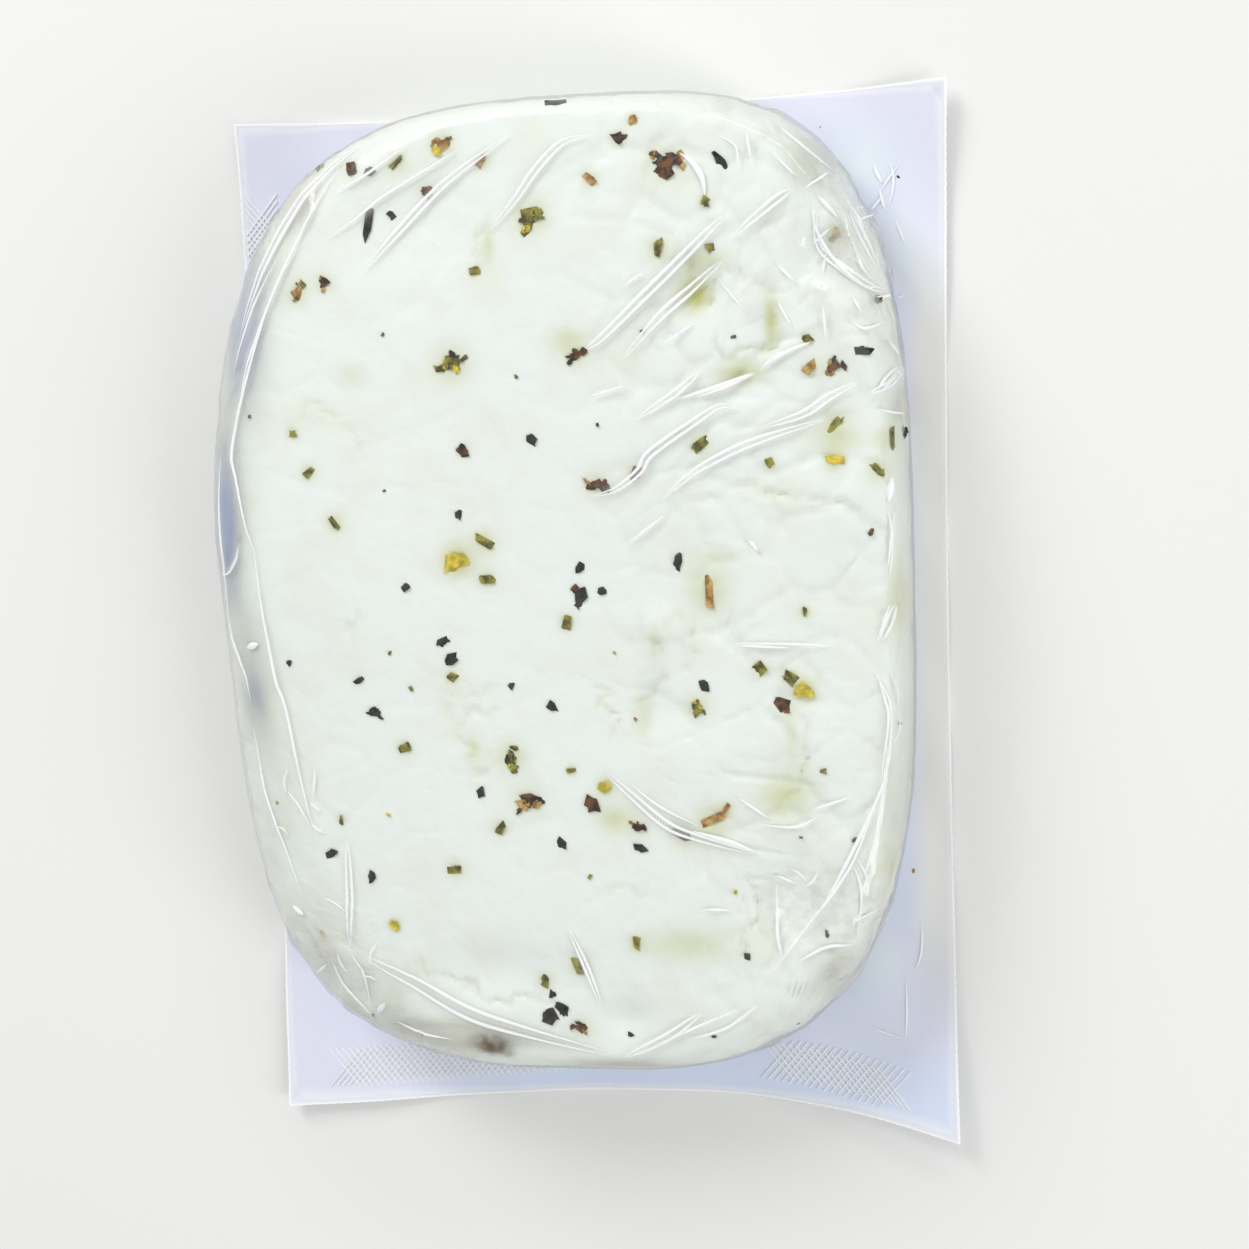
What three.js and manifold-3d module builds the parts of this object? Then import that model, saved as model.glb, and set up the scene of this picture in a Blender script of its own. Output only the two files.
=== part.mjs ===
// A block of halloumi with dried herbs, vacuum packed in clear film on a backing web.
// Millimetres. The pack lies on its back: +Z points out of the shown face, +Y to the top
// edge, and the origin is the middle of the web's underside.

import * as THREE from 'three';
import { mergeVertices } from 'three/addons/utils/BufferGeometryUtils.js';
import Module from 'manifold-3d';

const wasm = await Module();
wasm.setup();

// Driving dimensions of the backing web, a sheet whose edges the shrunken film draws in
const WEB_HALF_WIDTH = 51.5;
const WEB_HALF_LENGTH = 74.5;
const WEB_THICKNESS = 0.6;
const WEB_DRAWN_IN = { left: 0.4, right: 0.8, top: 1.2, bottom: 4.6 };
const WEB_BOTTOM_SKEW = 0.6;
const WEB_CORNER_LIFT = { left: 1.6, right: 3.2 };
const WEB_RIPPLE = 0.35;
const WEB_RIPPLE_LENGTH = 23;

// The grid lines of the web lie close together only along its border, and its middle is flat
const WEB_LINES_X = [0, 2.5, 6.5, 12, 19, 30, 72, 82, 89, 94.5, 99.5, 103];
const WEB_LINES_Y = [0, 2.5, 6.5, 12, 19, 30, 45, 110, 121, 130, 137, 142.5, 146.5, 149];
const WEB_LIFT_FROM = 0.1;
const WEB_LIFT_TO = 0.45;

// The web rests on its flat middle cell only: beyond that its underside rises a little
const WEB_REST = { x: -0.5, y: 3, halfWidth: 21, halfLength: 32.5 };
const WEB_REST_RISE = 0.2;
const WEB_REST_REACH = 12;

// Driving heights of the pouch that film and cheese make together
const POUCH_BASE = 0.9;
const POUCH_FACE = 22;
const FACE_EDGE_DROP = 1.5;
const BELLY_HEIGHT = { left: 13, elsewhere: 6 };

// Plan outlines of the pouch as quarter superellipses: reach on each side, and how square
// each corner is. The face is where the flat of the cheese ends, the belly is where the
// wall stands out furthest, and the foot is where the film meets the web.
const FACE_OUTLINE = { right: 43.6, left: 45, top: 70.5, bottom: 57, tr: 3.2, tl: 2.6, bl: 3.5, br: 2.5 };
const BELLY_OUTLINE = { right: 46.4, left: 52.8, top: 74.3, bottom: 62.2, tr: 3.8, tl: 3, bl: 3.5, br: 3 };
const FOOT_OUTLINE = { right: 45.6, left: 48.2, top: 72.4, bottom: 61.4, tr: 3.6, tl: 3, bl: 3.4, br: 3 };

// Below this line the left side slants in towards the bottom fold, the face more than the wall
const FACE_SLANT = 0.22;
const WALL_SLANT = 0.06;
const SLANT_FROM = 14;

// How finely the skin of the pouch is divided
const FACE_CELLS_X = 30;
const FACE_CELLS_Y = 44;
const WALL_CELLS = 5;
const SHOULDER_SHARE = 0.62;
const SHOULDER_POWER = 2.2;

// Broad swells and hollows of the face: x, y, half width, half height, rise
const SWELLS = [
  [19.5, 46.5, 5, 5, -1.1],
  [29, 42.5, 3, 6, -0.8],
  [25.5, 35, 6, 3.5, -0.6],
  [36, 50, 5, 6, -1.2],
  [38, 20, 8, 10, 0.7],
  [33, -12, 8, 9, 0.6],
  [14, 3, 5, 4, 0.6],
  [12, -8, 3, 6, -0.9],
  [30, -34, 7, 8, -1.2],
  [20, -16, 9, 7, 0.5],
  [-20, 58, 14, 9, -0.6],
  [-10, -46, 14, 6, -0.8],
  [-24, 8, 18, 22, 0.3],
  [7, -52, 5, 4, -0.9],
];

// Dents and bulges of the film where it stands off the cheese
const WALL_SWELLS = [
  [-51, 22, 4, 13, 0.9],
  [-47, -14, 5, 9, -1.2],
  [-44, -40, 6, 8, 0.9],
  [-34, -52, 6, 5, -1.1],
  [-12, -60, 12, 4, 1],
  [24, -56, 8, 5, -0.9],
  [40, -44, 5, 7, 0.8],
  [42, 58, 5, 6, -1.1],
];

// Folds of the film, each as a low ridge along a curve: half width, height, then x, y points
const FOLDS = {
  bottomEdge: [1.3, 0.9, [-31, -44.5], [-24, -47.6], [-15.8, -51.9], [-7.6, -54.3], [4.6, -57.2]],
  bottomCrossing: [0.8, 0.5, [17.6, -50.7], [12.6, -54.4], [6.5, -57.6]],
  leftUpper: [1, 0.7, [-26, 68.6], [-34, 62.6], [-40.5, 53.5], [-45, 44]],
  leftInner: [0.9, 0.6, [-29, 65.5], [-34.3, 56], [-38.5, 46.5], [-43, 37], [-45.2, 27]],
  leftPocket: [0.8, 0.6, [-45, 15], [-42.8, 5], [-41.1, -6.4], [-38.6, -19], [-36, -30]],
  leftLower: [0.8, 0.5, [-32.4, -27.2], [-32.6, -35.8], [-33.3, -43.3]],
  topSweep: [0.8, 0.5, [-4.4, 68.2], [-13.7, 62.4], [-20.9, 56.1], [-25.5, 51.4]],
  topShort: [0.7, 0.4, [2.5, 66.7], [-1.2, 63.3], [-7.6, 55.9]],
  upperLong: [0.9, 0.6, [24.2, 56.5], [14.4, 47.7], [5.1, 39.9]],
  upperSecond: [0.8, 0.5, [23.7, 50.7], [16, 44.4], [10, 38.4]],
  upperThird: [0.7, 0.4, [20.3, 36.5], [16.7, 33.6], [11.6, 30.5]],
  archInner: [0.9, 0.6, [25, 31.4], [19.2, 29.8], [13.3, 25.9], [8.5, 21.3], [5.4, 20.5]],
  archOuter: [0.8, 0.5, [40.5, 34.3], [30.1, 28], [19.4, 23.5], [14.7, 19.9]],
  cornerUpper: [0.8, 0.6, [35.6, 56.5], [35.9, 51.9], [39.2, 48.8], [43, 46.2]],
  lowerFirst: [0.9, 0.6, [5.6, -16.9], [13.7, -24], [25.6, -28]],
  lowerSteep: [0.8, 0.5, [43.2, -18], [38.6, -29.4], [27.5, -44.6]],
  rightEdge: [0.7, 0.5, [42.4, -3.6], [43.6, -10], [42.6, -18.5]],
  bottomShort: [0.7, 0.4, [-0.4, -39.1], [1.8, -44.6], [3.6, -50]],
};
const FOLD_STEPS = 9;
const FOLD_ROOT = 0.7;

// The larger herb flakes: x, y, length, width, turn in degrees from +X
const DARK_LEAF = [
  [-27, -9, 2.2, 1.5, 170], [-15.5, -1.5, 1.8, 1.2, 20], [-4, -52, 1.9, 1.5, 170], [-16.5, 1, 1.9, 1, 18],
  [16.5, 11.5, 2.2, 0.9, 87], [-29, -32.5, 1.6, 1.1, 80], [19.5, -5, 1.7, 0.9, 115], [-1, -27, 1.5, 1, 120],
  [41.5, 38.5, 2.4, 1.1, 168], [23.5, 63.5, 2.6, 1.3, 124], [3, 7, 2.9, 1.9, 93], [-1.5, -8, 1.4, 0.9, 138],
  [-2, -51, 2, 1.3, 128], [10, -27.5, 1.9, 0.7, 165], [-35, -29.5, 2.1, 1, 33], [-3, 28, 1.5, 1, 99],
];
const OLIVE_LEAF = [
  [-2, 57.5, 3.9, 2.7, 21], [-13.5, 38.5, 3.4, 3, 157], [-7.5, -15, 3.7, 1.7, 110], [18.5, -8, 2.7, 1.5, 163],
  [-4.5, -47, 2.1, 1.3, 72], [44.6, 27, 3.2, 1.2, 88], [43, 23, 2.9, 1, 136], [20, 27, 2.7, 1.3, 42],
  [-16.5, -31, 2.6, 1, 7], [-23, -14, 2.1, 1, 22], [-31.5, 17.5, 2.6, 0.8, 134], [-10, 9.5, 2.6, 0.9, 0],
  [-9.5, -25, 1.8, 1, 57], [-20.5, 65.5, 2.5, 0.8, 35], [-35, 24.5, 2.2, 0.8, 41], [9, -41, 2.1, 0.8, 83],
  [1, 3.5, 2.3, 0.9, 79], [-15.5, -4, 1.8, 1, 138], [0.5, -44.5, 2.8, 1, 114], [31, -4, 1.8, 1.4, 137],
  [15, 52.5, 2.9, 1.2, 80], [27, -3, 2.1, 1.4, 43],
];
const BROWN_FLAKE = [
  [16, 63.5, 4.7, 3, 179], [-5.5, -21, 4.1, 2.5, 26], [37.5, 36.5, 2.4, 2.1, 44], [10, -24.5, 2.3, 1.9, 117],
  [16, -25.5, 3.4, 1.2, 149], [0.5, -53.5, 2.4, 1.5, 152], [-31.5, 50, 2.2, 1.7, 96], [3.5, -21.5, 2.2, 1.3, 131],
  [3.5, 39, 2.3, 1.4, 11], [30, -8, 2, 1.4, 135], [-16.5, 61.5, 1.8, 1.4, 23], [10, 67, 1.9, 1.2, 174],
  [-12.5, 27, 1.7, 1.2, 132], [-27, 65, 1.6, 1.2, 93],
];
const STRAW_FLAKE = [
  [-14, 67.5, 2.9, 2, 178], [-35.5, 49, 2.8, 1.6, 72], [38, 53.5, 2, 1.7, 43], [34.5, 36.5, 1.9, 1.2, 40],
  [-8.5, 65, 1.9, 0.9, 48],
];
const GOLDEN_FLAKE = [
  [-14, 12, 3.4, 2.4, 41], [33, -5.8, 2.6, 1.4, 166], [5.6, -19, 1.8, 1.1, 26], [37.5, 24.5, 2.3, 1.1, 159],
  [-26, -39.5, 1.5, 0.9, 119],
];
const STEM = [
  [20.5, 7.5, 5.6, 1.1, 93], [20, -23.5, 4.2, 0.9, 22], [-25, 57.5, 4.6, 0.8, 76], [-10, 14.5, 3.4, 1, 143],
  [37.5, 29, 3.6, 1.1, 44],
];
const SEED = [
  [5.6, 22, 3.6, 1.5, 11], [6, 62, 2.2, 0.9, 136], [11, 23.5, 2, 1, 55],
];
const FLAKE_RISE = 0.4;
const FLAKE_ROOT = 0.6;
const FLAKE_SEED = 41;

const clamp01 = (t) => Math.min(1, Math.max(0, t));

function smoothstep(from, to, value) {
  const t = clamp01((value - from) / (to - from));
  return t * t * (3 - 2 * t);
}

// One draw after another from a linear congruential generator, each in 0 to 1
function makeDraw(seed) {
  let state = seed;
  return () => {
    state = (Math.imul(state, 1664525) + 1013904223) >>> 0;
    return state / 2 ** 32;
  };
}

// A bell of height 1 at its middle that falls to nothing at twice its half width
function bell(distance) {
  return Math.exp(-2 * distance * distance);
}

function swellAt(swells, x, y) {
  let rise = 0;
  for (const [cx, cy, halfWidth, halfHeight, height] of swells) {
    rise += height * bell(Math.hypot((x - cx) / halfWidth, (y - cy) / halfHeight));
  }
  return rise;
}

// The point of a plan outline that lies towards a point of the unit square's edge
function outlinePoint(outline, u, v) {
  const reachX = u < 0 ? outline.left : outline.right;
  const reachY = v < 0 ? outline.bottom : outline.top;
  const corner = outline[(v < 0 ? 'b' : 't') + (u < 0 ? 'l' : 'r')];
  const shrink = (Math.abs(u) ** corner + Math.abs(v) ** corner) ** (-1 / corner);
  return new THREE.Vector2(u * shrink * reachX, v * shrink * reachY);
}

// How far a point of the face's outline is slanted in, in millimetres for a slant of 1
function slantedBy(facePoint) {
  const below = Math.max(0, SLANT_FROM - facePoint.y);
  return below * clamp01(-facePoint.x / FACE_OUTLINE.left);
}

// A point of the pouch's skin. The square of half width 1 maps to the face, and the ring
// from there to half width 2 maps to the shoulder, the belly and the wall down to the foot.
function skinPoint(u, v) {
  const ring = Math.max(Math.abs(u), Math.abs(v));
  if (ring < 1e-9) {
    return new THREE.Vector3(0, 0, POUCH_FACE + swellAt(SWELLS, 0, 0));
  }
  const edgeU = u / ring;
  const edgeV = v / ring;
  const face = outlinePoint(FACE_OUTLINE, edgeU, edgeV);
  const slanted = slantedBy(face);
  face.x += FACE_SLANT * slanted;
  if (ring <= 1) {
    face.multiplyScalar(ring);
    const height = POUCH_FACE - FACE_EDGE_DROP * ring ** 4 + swellAt(SWELLS, face.x, face.y);
    return new THREE.Vector3(face.x, face.y, height);
  }
  const belly = outlinePoint(BELLY_OUTLINE, edgeU, edgeV);
  const foot = outlinePoint(FOOT_OUTLINE, edgeU, edgeV);
  belly.x += WALL_SLANT * slanted;
  foot.x += WALL_SLANT * slanted;
  const leftShare = smoothstep(0, 1, -edgeU);
  const bellyHeight = BELLY_HEIGHT.elsewhere + (BELLY_HEIGHT.left - BELLY_HEIGHT.elsewhere) * leftShare;
  const edgeHeight = POUCH_FACE - FACE_EDGE_DROP + swellAt(SWELLS, face.x, face.y);
  const down = ring - 1;
  if (down <= SHOULDER_SHARE) {
    const turn = (down / SHOULDER_SHARE) * (Math.PI / 2);
    const out = Math.sin(turn) ** (2 / SHOULDER_POWER);
    const up = Math.cos(turn) ** (2 / SHOULDER_POWER);
    const point = face.lerp(belly, out);
    const bulge = swellAt(WALL_SWELLS, point.x, point.y) * Math.sin(2 * turn);
    const height = bellyHeight + (edgeHeight - bellyHeight) * up + bulge;
    return new THREE.Vector3(point.x, point.y, height);
  }
  const under = (down - SHOULDER_SHARE) / (1 - SHOULDER_SHARE);
  const tuck = 1 - Math.cos((under * Math.PI) / 2);
  const point = belly.lerp(foot, tuck);
  const height = POUCH_BASE + (bellyHeight - POUCH_BASE) * (1 - under);
  return new THREE.Vector3(point.x, point.y, height);
}

// A closed solid from a mapped sheet: its edge vertices are joined to one flat underside
function closeBelow(sheet) {
  const merged = bare(sheet);
  const position = merged.getAttribute('position');
  const index = Array.from(merged.getIndex().array);
  const edges = new Map();
  for (let i = 0; i < index.length; i += 3) {
    for (let k = 0; k < 3; k++) {
      const from = index[i + k];
      const to = index[i + ((k + 1) % 3)];
      if (!edges.delete(`${to} ${from}`)) {
        edges.set(`${from} ${to}`, [from, to]);
      }
    }
  }
  const middle = position.count;
  for (const [from, to] of edges.values()) {
    index.push(to, from, middle);
  }
  const points = [...position.array, 0, 0, POUCH_BASE];
  const closed = new THREE.BufferGeometry();
  closed.setAttribute('position', new THREE.Float32BufferAttribute(points, 3));
  closed.setIndex(index);
  return closed;
}

// The geometry with only its places left, and with its shared vertices merged
function bare(geometry) {
  geometry.deleteAttribute('normal');
  geometry.deleteAttribute('uv');
  return mergeVertices(geometry, 1e-4);
}

function toSolid(geometry) {
  const vertProperties = Float32Array.from(geometry.getAttribute('position').array);
  const triVerts = Uint32Array.from(geometry.getIndex().array);
  return new wasm.Manifold(new wasm.Mesh({ numProp: 3, vertProperties, triVerts }));
}

function toGeometry(solid) {
  const mesh = solid.getMesh();
  const geometry = new THREE.BufferGeometry();
  geometry.setAttribute('position', new THREE.BufferAttribute(mesh.vertProperties, 3));
  geometry.setIndex(new THREE.BufferAttribute(mesh.triVerts, 1));
  geometry.computeVertexNormals();
  return geometry;
}

// Face and wall of the pouch as one plane grid, mapped point by point onto the skin
function makeSkin() {
  const cellsX = FACE_CELLS_X + 2 * WALL_CELLS;
  const cellsY = FACE_CELLS_Y + 2 * WALL_CELLS;
  const sheet = new THREE.PlaneGeometry(2, 2, cellsX, cellsY);
  const position = sheet.getAttribute('position');
  const spread = (value, cells) => {
    const fromMiddle = (Math.abs(value) * (cells + 2 * WALL_CELLS)) / 2;
    const onFace = Math.min(fromMiddle, cells / 2) / (cells / 2);
    const onWall = Math.max(0, fromMiddle - cells / 2) / WALL_CELLS;
    return Math.sign(value) * (onFace + onWall);
  };
  for (let i = 0; i < position.count; i++) {
    const u = spread(position.getX(i), FACE_CELLS_X);
    const v = spread(position.getY(i), FACE_CELLS_Y);
    const point = skinPoint(u, v);
    position.setXYZ(i, point.x, point.y, point.z);
  }
  return closeBelow(sheet);
}

// Where a plumb line at x, y meets the skin from above: the point and the way out of it
function plumb(skin, x, y) {
  const from = new THREE.Vector3(x, y, 2 * POUCH_FACE);
  const hit = new THREE.Raycaster(from, new THREE.Vector3(0, 0, -1)).intersectObject(skin)[0];
  return { point: hit.point, normal: hit.face.normal };
}

// A fold of the film: a four-sided bar along its curve, thin at both ends
function makeFold(skin, [halfWidth, height, ...route]) {
  const curve = new THREE.CatmullRomCurve3(route.map(([x, y]) => new THREE.Vector3(x, y, 0)));
  const bar = bare(new THREE.CylinderGeometry(1, 1, 1, 4, FOLD_STEPS));
  const position = bar.getAttribute('position');
  for (let i = 0; i < position.count; i++) {
    const along = position.getY(i) + 0.5;
    const thin = 0.3 + 0.7 * Math.sin(Math.PI * along);
    const onCurve = curve.getPoint(along);
    const { point, normal } = plumb(skin, onCurve.x, onCurve.y);
    const side = curve.getTangent(along).cross(normal).normalize();
    const across = position.getX(i) * halfWidth * thin;
    const up = position.getZ(i) * (position.getZ(i) > 0 ? height * thin : FOLD_ROOT);
    point.addScaledVector(side, across).addScaledVector(normal, up);
    position.setXYZ(i, point.x, point.y, point.z);
  }
  return bar;
}

// A flake: a low prism with an uneven outline, rooted in the skin and tilted with it
function makeFlake(skin, [x, y, length, width, turn], sides, draw) {
  const chip = bare(new THREE.CylinderGeometry(1, 1, 1, sides));
  const position = chip.getAttribute('position');
  const uneven = Array.from({ length: sides }, () => 0.8 + 0.35 * draw());
  const { point, normal } = plumb(skin, x, y);
  const lay = new THREE.Quaternion().setFromUnitVectors(new THREE.Vector3(0, 0, 1), normal);
  for (let i = 0; i < position.count; i++) {
    const angle = Math.atan2(position.getZ(i), position.getX(i));
    const side = Math.round((angle / (2 * Math.PI) + 1) * sides) % sides;
    const isCentre = Math.hypot(position.getX(i), position.getZ(i)) < 0.5;
    const reach = isCentre ? 0 : 0.5 * uneven[side];
    const up = position.getY(i) > 0 ? FLAKE_RISE : -FLAKE_ROOT;
    const corner = new THREE.Vector3(Math.cos(angle) * reach * length, -Math.sin(angle) * reach * width, up);
    corner.applyAxisAngle(new THREE.Vector3(0, 0, 1), THREE.MathUtils.degToRad(turn));
    corner.applyQuaternion(lay).add(point);
    position.setXYZ(i, corner.x, corner.y, corner.z);
  }
  return chip;
}

function makePouch() {
  const skinGeometry = makeSkin();
  const skin = new THREE.Mesh(skinGeometry);
  let solid = toSolid(skinGeometry);
  for (const fold of Object.values(FOLDS)) {
    solid = solid.add(toSolid(makeFold(skin, fold)));
  }
  const draw = makeDraw(FLAKE_SEED);
  const leafSides = 5;
  const stemSides = 4;
  const seedSides = 6;
  const kinds = [
    [DARK_LEAF, leafSides], [OLIVE_LEAF, leafSides], [BROWN_FLAKE, leafSides], [STRAW_FLAKE, leafSides],
    [GOLDEN_FLAKE, leafSides], [STEM, stemSides], [SEED, seedSides],
  ];
  for (const [flakes, sides] of kinds) {
    for (const flake of flakes) {
      solid = solid.add(toSolid(makeFlake(skin, flake, sides, draw)));
    }
  }
  return toGeometry(solid);
}

// How far an edge of the web is drawn in at a place along it, from -1 to 1
function drawnIn(amount, along) {
  return amount * (1 - along * along);
}

// How far a plan place lies beyond the foot of the pouch, as a share of the way from its middle
function beyondFoot(x, y) {
  const { left, right, top, bottom } = FOOT_OUTLINE;
  const corner = FOOT_OUTLINE[(y < 0 ? 'b' : 't') + (x < 0 ? 'l' : 'r')];
  const shareX = Math.abs(x) / (x < 0 ? left : right);
  const shareY = Math.abs(y) / (y < 0 ? bottom : top);
  return Math.max(0, (shareX ** corner + shareY ** corner) ** (1 / corner) - 1);
}

// Height of the web: flat under the pouch, lifted and rippled beyond its foot
function webHeight(x, y) {
  const beyond = beyondFoot(x, y);
  const lift = x < 0 ? WEB_CORNER_LIFT.left : WEB_CORNER_LIFT.right;
  const curl = lift * smoothstep(WEB_LIFT_FROM, WEB_LIFT_TO, beyond);
  const wave = 0.5 + 0.5 * Math.sin((2 * Math.PI * (x + y)) / WEB_RIPPLE_LENGTH);
  return curl + WEB_RIPPLE * wave * smoothstep(0.02, 0.1, beyond);
}

// How far the web's underside stands off the ground round the cell that it rests on
function undersideRise(x, y) {
  const outX = Math.max(0, Math.abs(x - WEB_REST.x) - WEB_REST.halfWidth);
  const outY = Math.max(0, Math.abs(y - WEB_REST.y) - WEB_REST.halfLength);
  return WEB_REST_RISE * smoothstep(0, WEB_REST_REACH, Math.hypot(outX, outY));
}

function makeWeb() {
  const cellsX = WEB_LINES_X.length - 1;
  const cellsY = WEB_LINES_Y.length - 1;
  const sheet = bare(new THREE.BoxGeometry(1, 1, 1, cellsX, cellsY, 1));
  const position = sheet.getAttribute('position');
  for (let i = 0; i < position.count; i++) {
    const column = Math.round((position.getX(i) + 0.5) * cellsX);
    const row = Math.round((position.getY(i) + 0.5) * cellsY);
    const u = WEB_LINES_X[column] / WEB_HALF_WIDTH - 1;
    const v = WEB_LINES_Y[row] / WEB_HALF_LENGTH - 1;
    const sideIn = u < 0 ? WEB_DRAWN_IN.left : WEB_DRAWN_IN.right;
    const endIn = v < 0 ? WEB_DRAWN_IN.bottom * (1 + WEB_BOTTOM_SKEW * u) : WEB_DRAWN_IN.top;
    const x = u * (WEB_HALF_WIDTH - drawnIn(sideIn, v) * Math.abs(u) ** 3);
    const y = v * (WEB_HALF_LENGTH - drawnIn(endIn, u) * Math.abs(v) ** 3);
    const height = webHeight(u * WEB_HALF_WIDTH, v * WEB_HALF_LENGTH);
    const layer = position.getZ(i) > 0 ? WEB_THICKNESS : undersideRise(x, y);
    position.setXYZ(i, x, y, height + layer);
  }
  sheet.computeVertexNormals();
  return sheet;
}

// Finishes
const cheeseUnderFilm = new THREE.MeshStandardMaterial({ color: '#e8eee7', roughness: 0.22, metalness: 0 });
const webFilm = new THREE.MeshStandardMaterial({ color: '#d8d8ea', roughness: 0.35, metalness: 0 });

const pouch = new THREE.Mesh(makePouch(), cheeseUnderFilm);
pouch.name = 'cheese_in_film';

const web = new THREE.Mesh(makeWeb(), webFilm);
web.name = 'backing_web';

const pack = new THREE.Group();
pack.add(web, pouch);

export default pack;
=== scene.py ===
"""A block of halloumi with dried herbs, vacuum packed in clear film on a backing web.

Sizes are in millimetres until a mesh is made, and every mesh is in metres. The pack lies on
its back: +Z points out of the shown face and +Y to its top edge.
"""

import logging
import math
from dataclasses import dataclass, field
from enum import Enum

import bpy
import numpy as np
from mathutils import Matrix, Vector
from mathutils.bvhtree import BVHTree


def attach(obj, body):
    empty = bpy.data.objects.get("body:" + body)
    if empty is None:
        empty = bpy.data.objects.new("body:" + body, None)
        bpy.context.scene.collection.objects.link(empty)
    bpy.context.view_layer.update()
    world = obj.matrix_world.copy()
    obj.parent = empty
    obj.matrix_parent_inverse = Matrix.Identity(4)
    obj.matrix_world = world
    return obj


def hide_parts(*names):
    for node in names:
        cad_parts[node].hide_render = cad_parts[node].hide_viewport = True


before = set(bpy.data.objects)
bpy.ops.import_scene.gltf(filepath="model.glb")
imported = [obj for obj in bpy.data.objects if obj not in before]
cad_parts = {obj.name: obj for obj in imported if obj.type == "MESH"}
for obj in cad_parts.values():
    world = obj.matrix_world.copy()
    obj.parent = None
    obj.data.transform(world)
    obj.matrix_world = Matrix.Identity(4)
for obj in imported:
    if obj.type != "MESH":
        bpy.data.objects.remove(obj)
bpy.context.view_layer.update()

MM = 0.001
# Height in millimetres from which a ray looks down on the pack
LOOK_FROM = 60.0
# Angle between two faces from which their edge stays sharp
SHARP_FROM = math.radians(60)
LOG = logging.getLogger("halloumi")


# Colour and node helpers


def linear(hex_colour: str) -> tuple[float, float, float, float]:
    """Turn an sRGB hex value into a linear colour.

    Args:
        hex_colour: six hex digits after a number sign.

    Returns:
        Red, green, blue and an alpha of 1.
    """
    values = [int(hex_colour[i : i + 2], 16) / 255 for i in (1, 3, 5)]
    red, green, pouch_blue_and_shade = (v / 12.92 if v <= 0.04045 else ((v + 0.055) / 1.055) ** 2.4 for v in values)
    return red, green, pouch_blue_and_shade, 1.0


def add_node(
    tree: bpy.types.NodeTree, kind: str, settings: dict | None = None, links: dict | None = None
) -> bpy.types.Node:
    """Add one node, with its settings, its input values and its links.

    Args:
        tree: the node tree that gets the node.
        kind: the node's type name.
        settings: property names and their values.
        links: input names or numbers, each with a value or with a socket to link.

    Returns:
        The new node.
    """
    node = tree.nodes.new(kind)
    for name, value in (settings or {}).items():
        setattr(node, name, value)
    for name, value in (links or {}).items():
        if isinstance(value, bpy.types.NodeSocket):
            tree.links.new(value, node.inputs[name])
        else:
            node.inputs[name].default_value = value
    return node


def new_material(name: str) -> tuple[bpy.types.Material, bpy.types.NodeTree]:
    """Make an empty node material.

    Args:
        name: the material's name.

    Returns:
        The material and its node tree.
    """
    material = bpy.data.materials.new(name)
    material.use_nodes = True
    material.node_tree.nodes.clear()
    return material, material.node_tree


# Noise and other fields over the plan


def smoothstep(low: float, high: float, value: np.ndarray) -> np.ndarray:
    """Rise smoothly from 0 at low to 1 at high."""
    t = np.clip((value - low) / (high - low), 0.0, 1.0)
    return t * t * (3.0 - 2.0 * t)


def value_noise(x: np.ndarray, y: np.ndarray, seed: int) -> np.ndarray:
    """Smooth noise from 0 to 1 on a lattice one unit wide.

    Args:
        x: places along the first axis.
        y: places along the second axis.
        seed: picks the lattice's values.

    Returns:
        The noise at each place.
    """
    size = 64
    table = np.random.default_rng(seed).random((size, size))
    column = np.floor(x).astype(int)
    row = np.floor(y).astype(int)
    along = smoothstep(0.0, 1.0, x - column)
    up = smoothstep(0.0, 1.0, y - row)
    low = table[row % size, column % size] * (1 - along) + table[row % size, (column + 1) % size] * along
    high = table[(row + 1) % size, column % size] * (1 - along)
    high = high + table[(row + 1) % size, (column + 1) % size] * along
    return low * (1 - up) + high * up


def facets(points: np.ndarray, seed: int, sharpness: float = 9.0) -> tuple[np.ndarray, np.ndarray]:
    """Crumple a surface into flat facets that meet at creases.

    Each cell of a jittered lattice tilts its own way, and neighbours blend over a short way.

    Args:
        points: places in units of one facet, n by 3.
        seed: picks the cells' middles and tilts.
        sharpness: how short the blend between two facets is.

    Returns:
        The height of each place, about -0.5 to 0.5, and how near it is to a crease, 0 to 1.
    """
    size = 32
    crease_width = 0.09
    rng = np.random.default_rng(seed)
    jitter = rng.random((size, size, size, 3))
    tilt = rng.normal(0.0, 0.5, (size, size, size, 3))
    cell = np.floor(points).astype(int)
    height = np.zeros(len(points))
    total = np.zeros(len(points))
    first = np.full(len(points), 9.0)
    second = np.full(len(points), 9.0)
    for step in np.ndindex(3, 3, 3):
        near = cell + np.array(step) - 1
        i, j, k = (near % size).T
        offset = points - near - jitter[i, j, k]
        distance = (offset**2).sum(1)
        weight = np.exp(-sharpness * distance)
        height += weight * (offset * tilt[i, j, k]).sum(1)
        total += weight
        second = np.where(distance < first, first, np.minimum(second, distance))
        first = np.minimum(first, distance)
    crease = np.exp(-(((np.sqrt(second) - np.sqrt(first)) / crease_width) ** 2))
    return height / np.maximum(total, 1e-9), crease


def crinkled(x: np.ndarray, y: np.ndarray) -> tuple[np.ndarray, np.ndarray]:
    """Shift plan places by noise, so that a smooth route drawn over them comes out jagged.

    Args:
        x: plan places.
        y: plan places.

    Returns:
        The shifted places.
    """
    wide, wide_reach = 2.6, 3.0
    fine, fine_reach = 0.9, 1.3
    shifts = []
    for seed in (51, 53):
        broad = value_noise(x / wide, y / wide, seed) - 0.5
        close = value_noise(x / fine, y / fine, seed + 1) - 0.5
        shifts.append(wide_reach * broad + fine_reach * close)
    return x + shifts[0], y + shifts[1]


def bell(distance: np.ndarray) -> np.ndarray:
    """A bell of height 1 at its middle that all but ends at twice its half width."""
    return np.exp(-2.0 * distance * distance)


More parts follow.
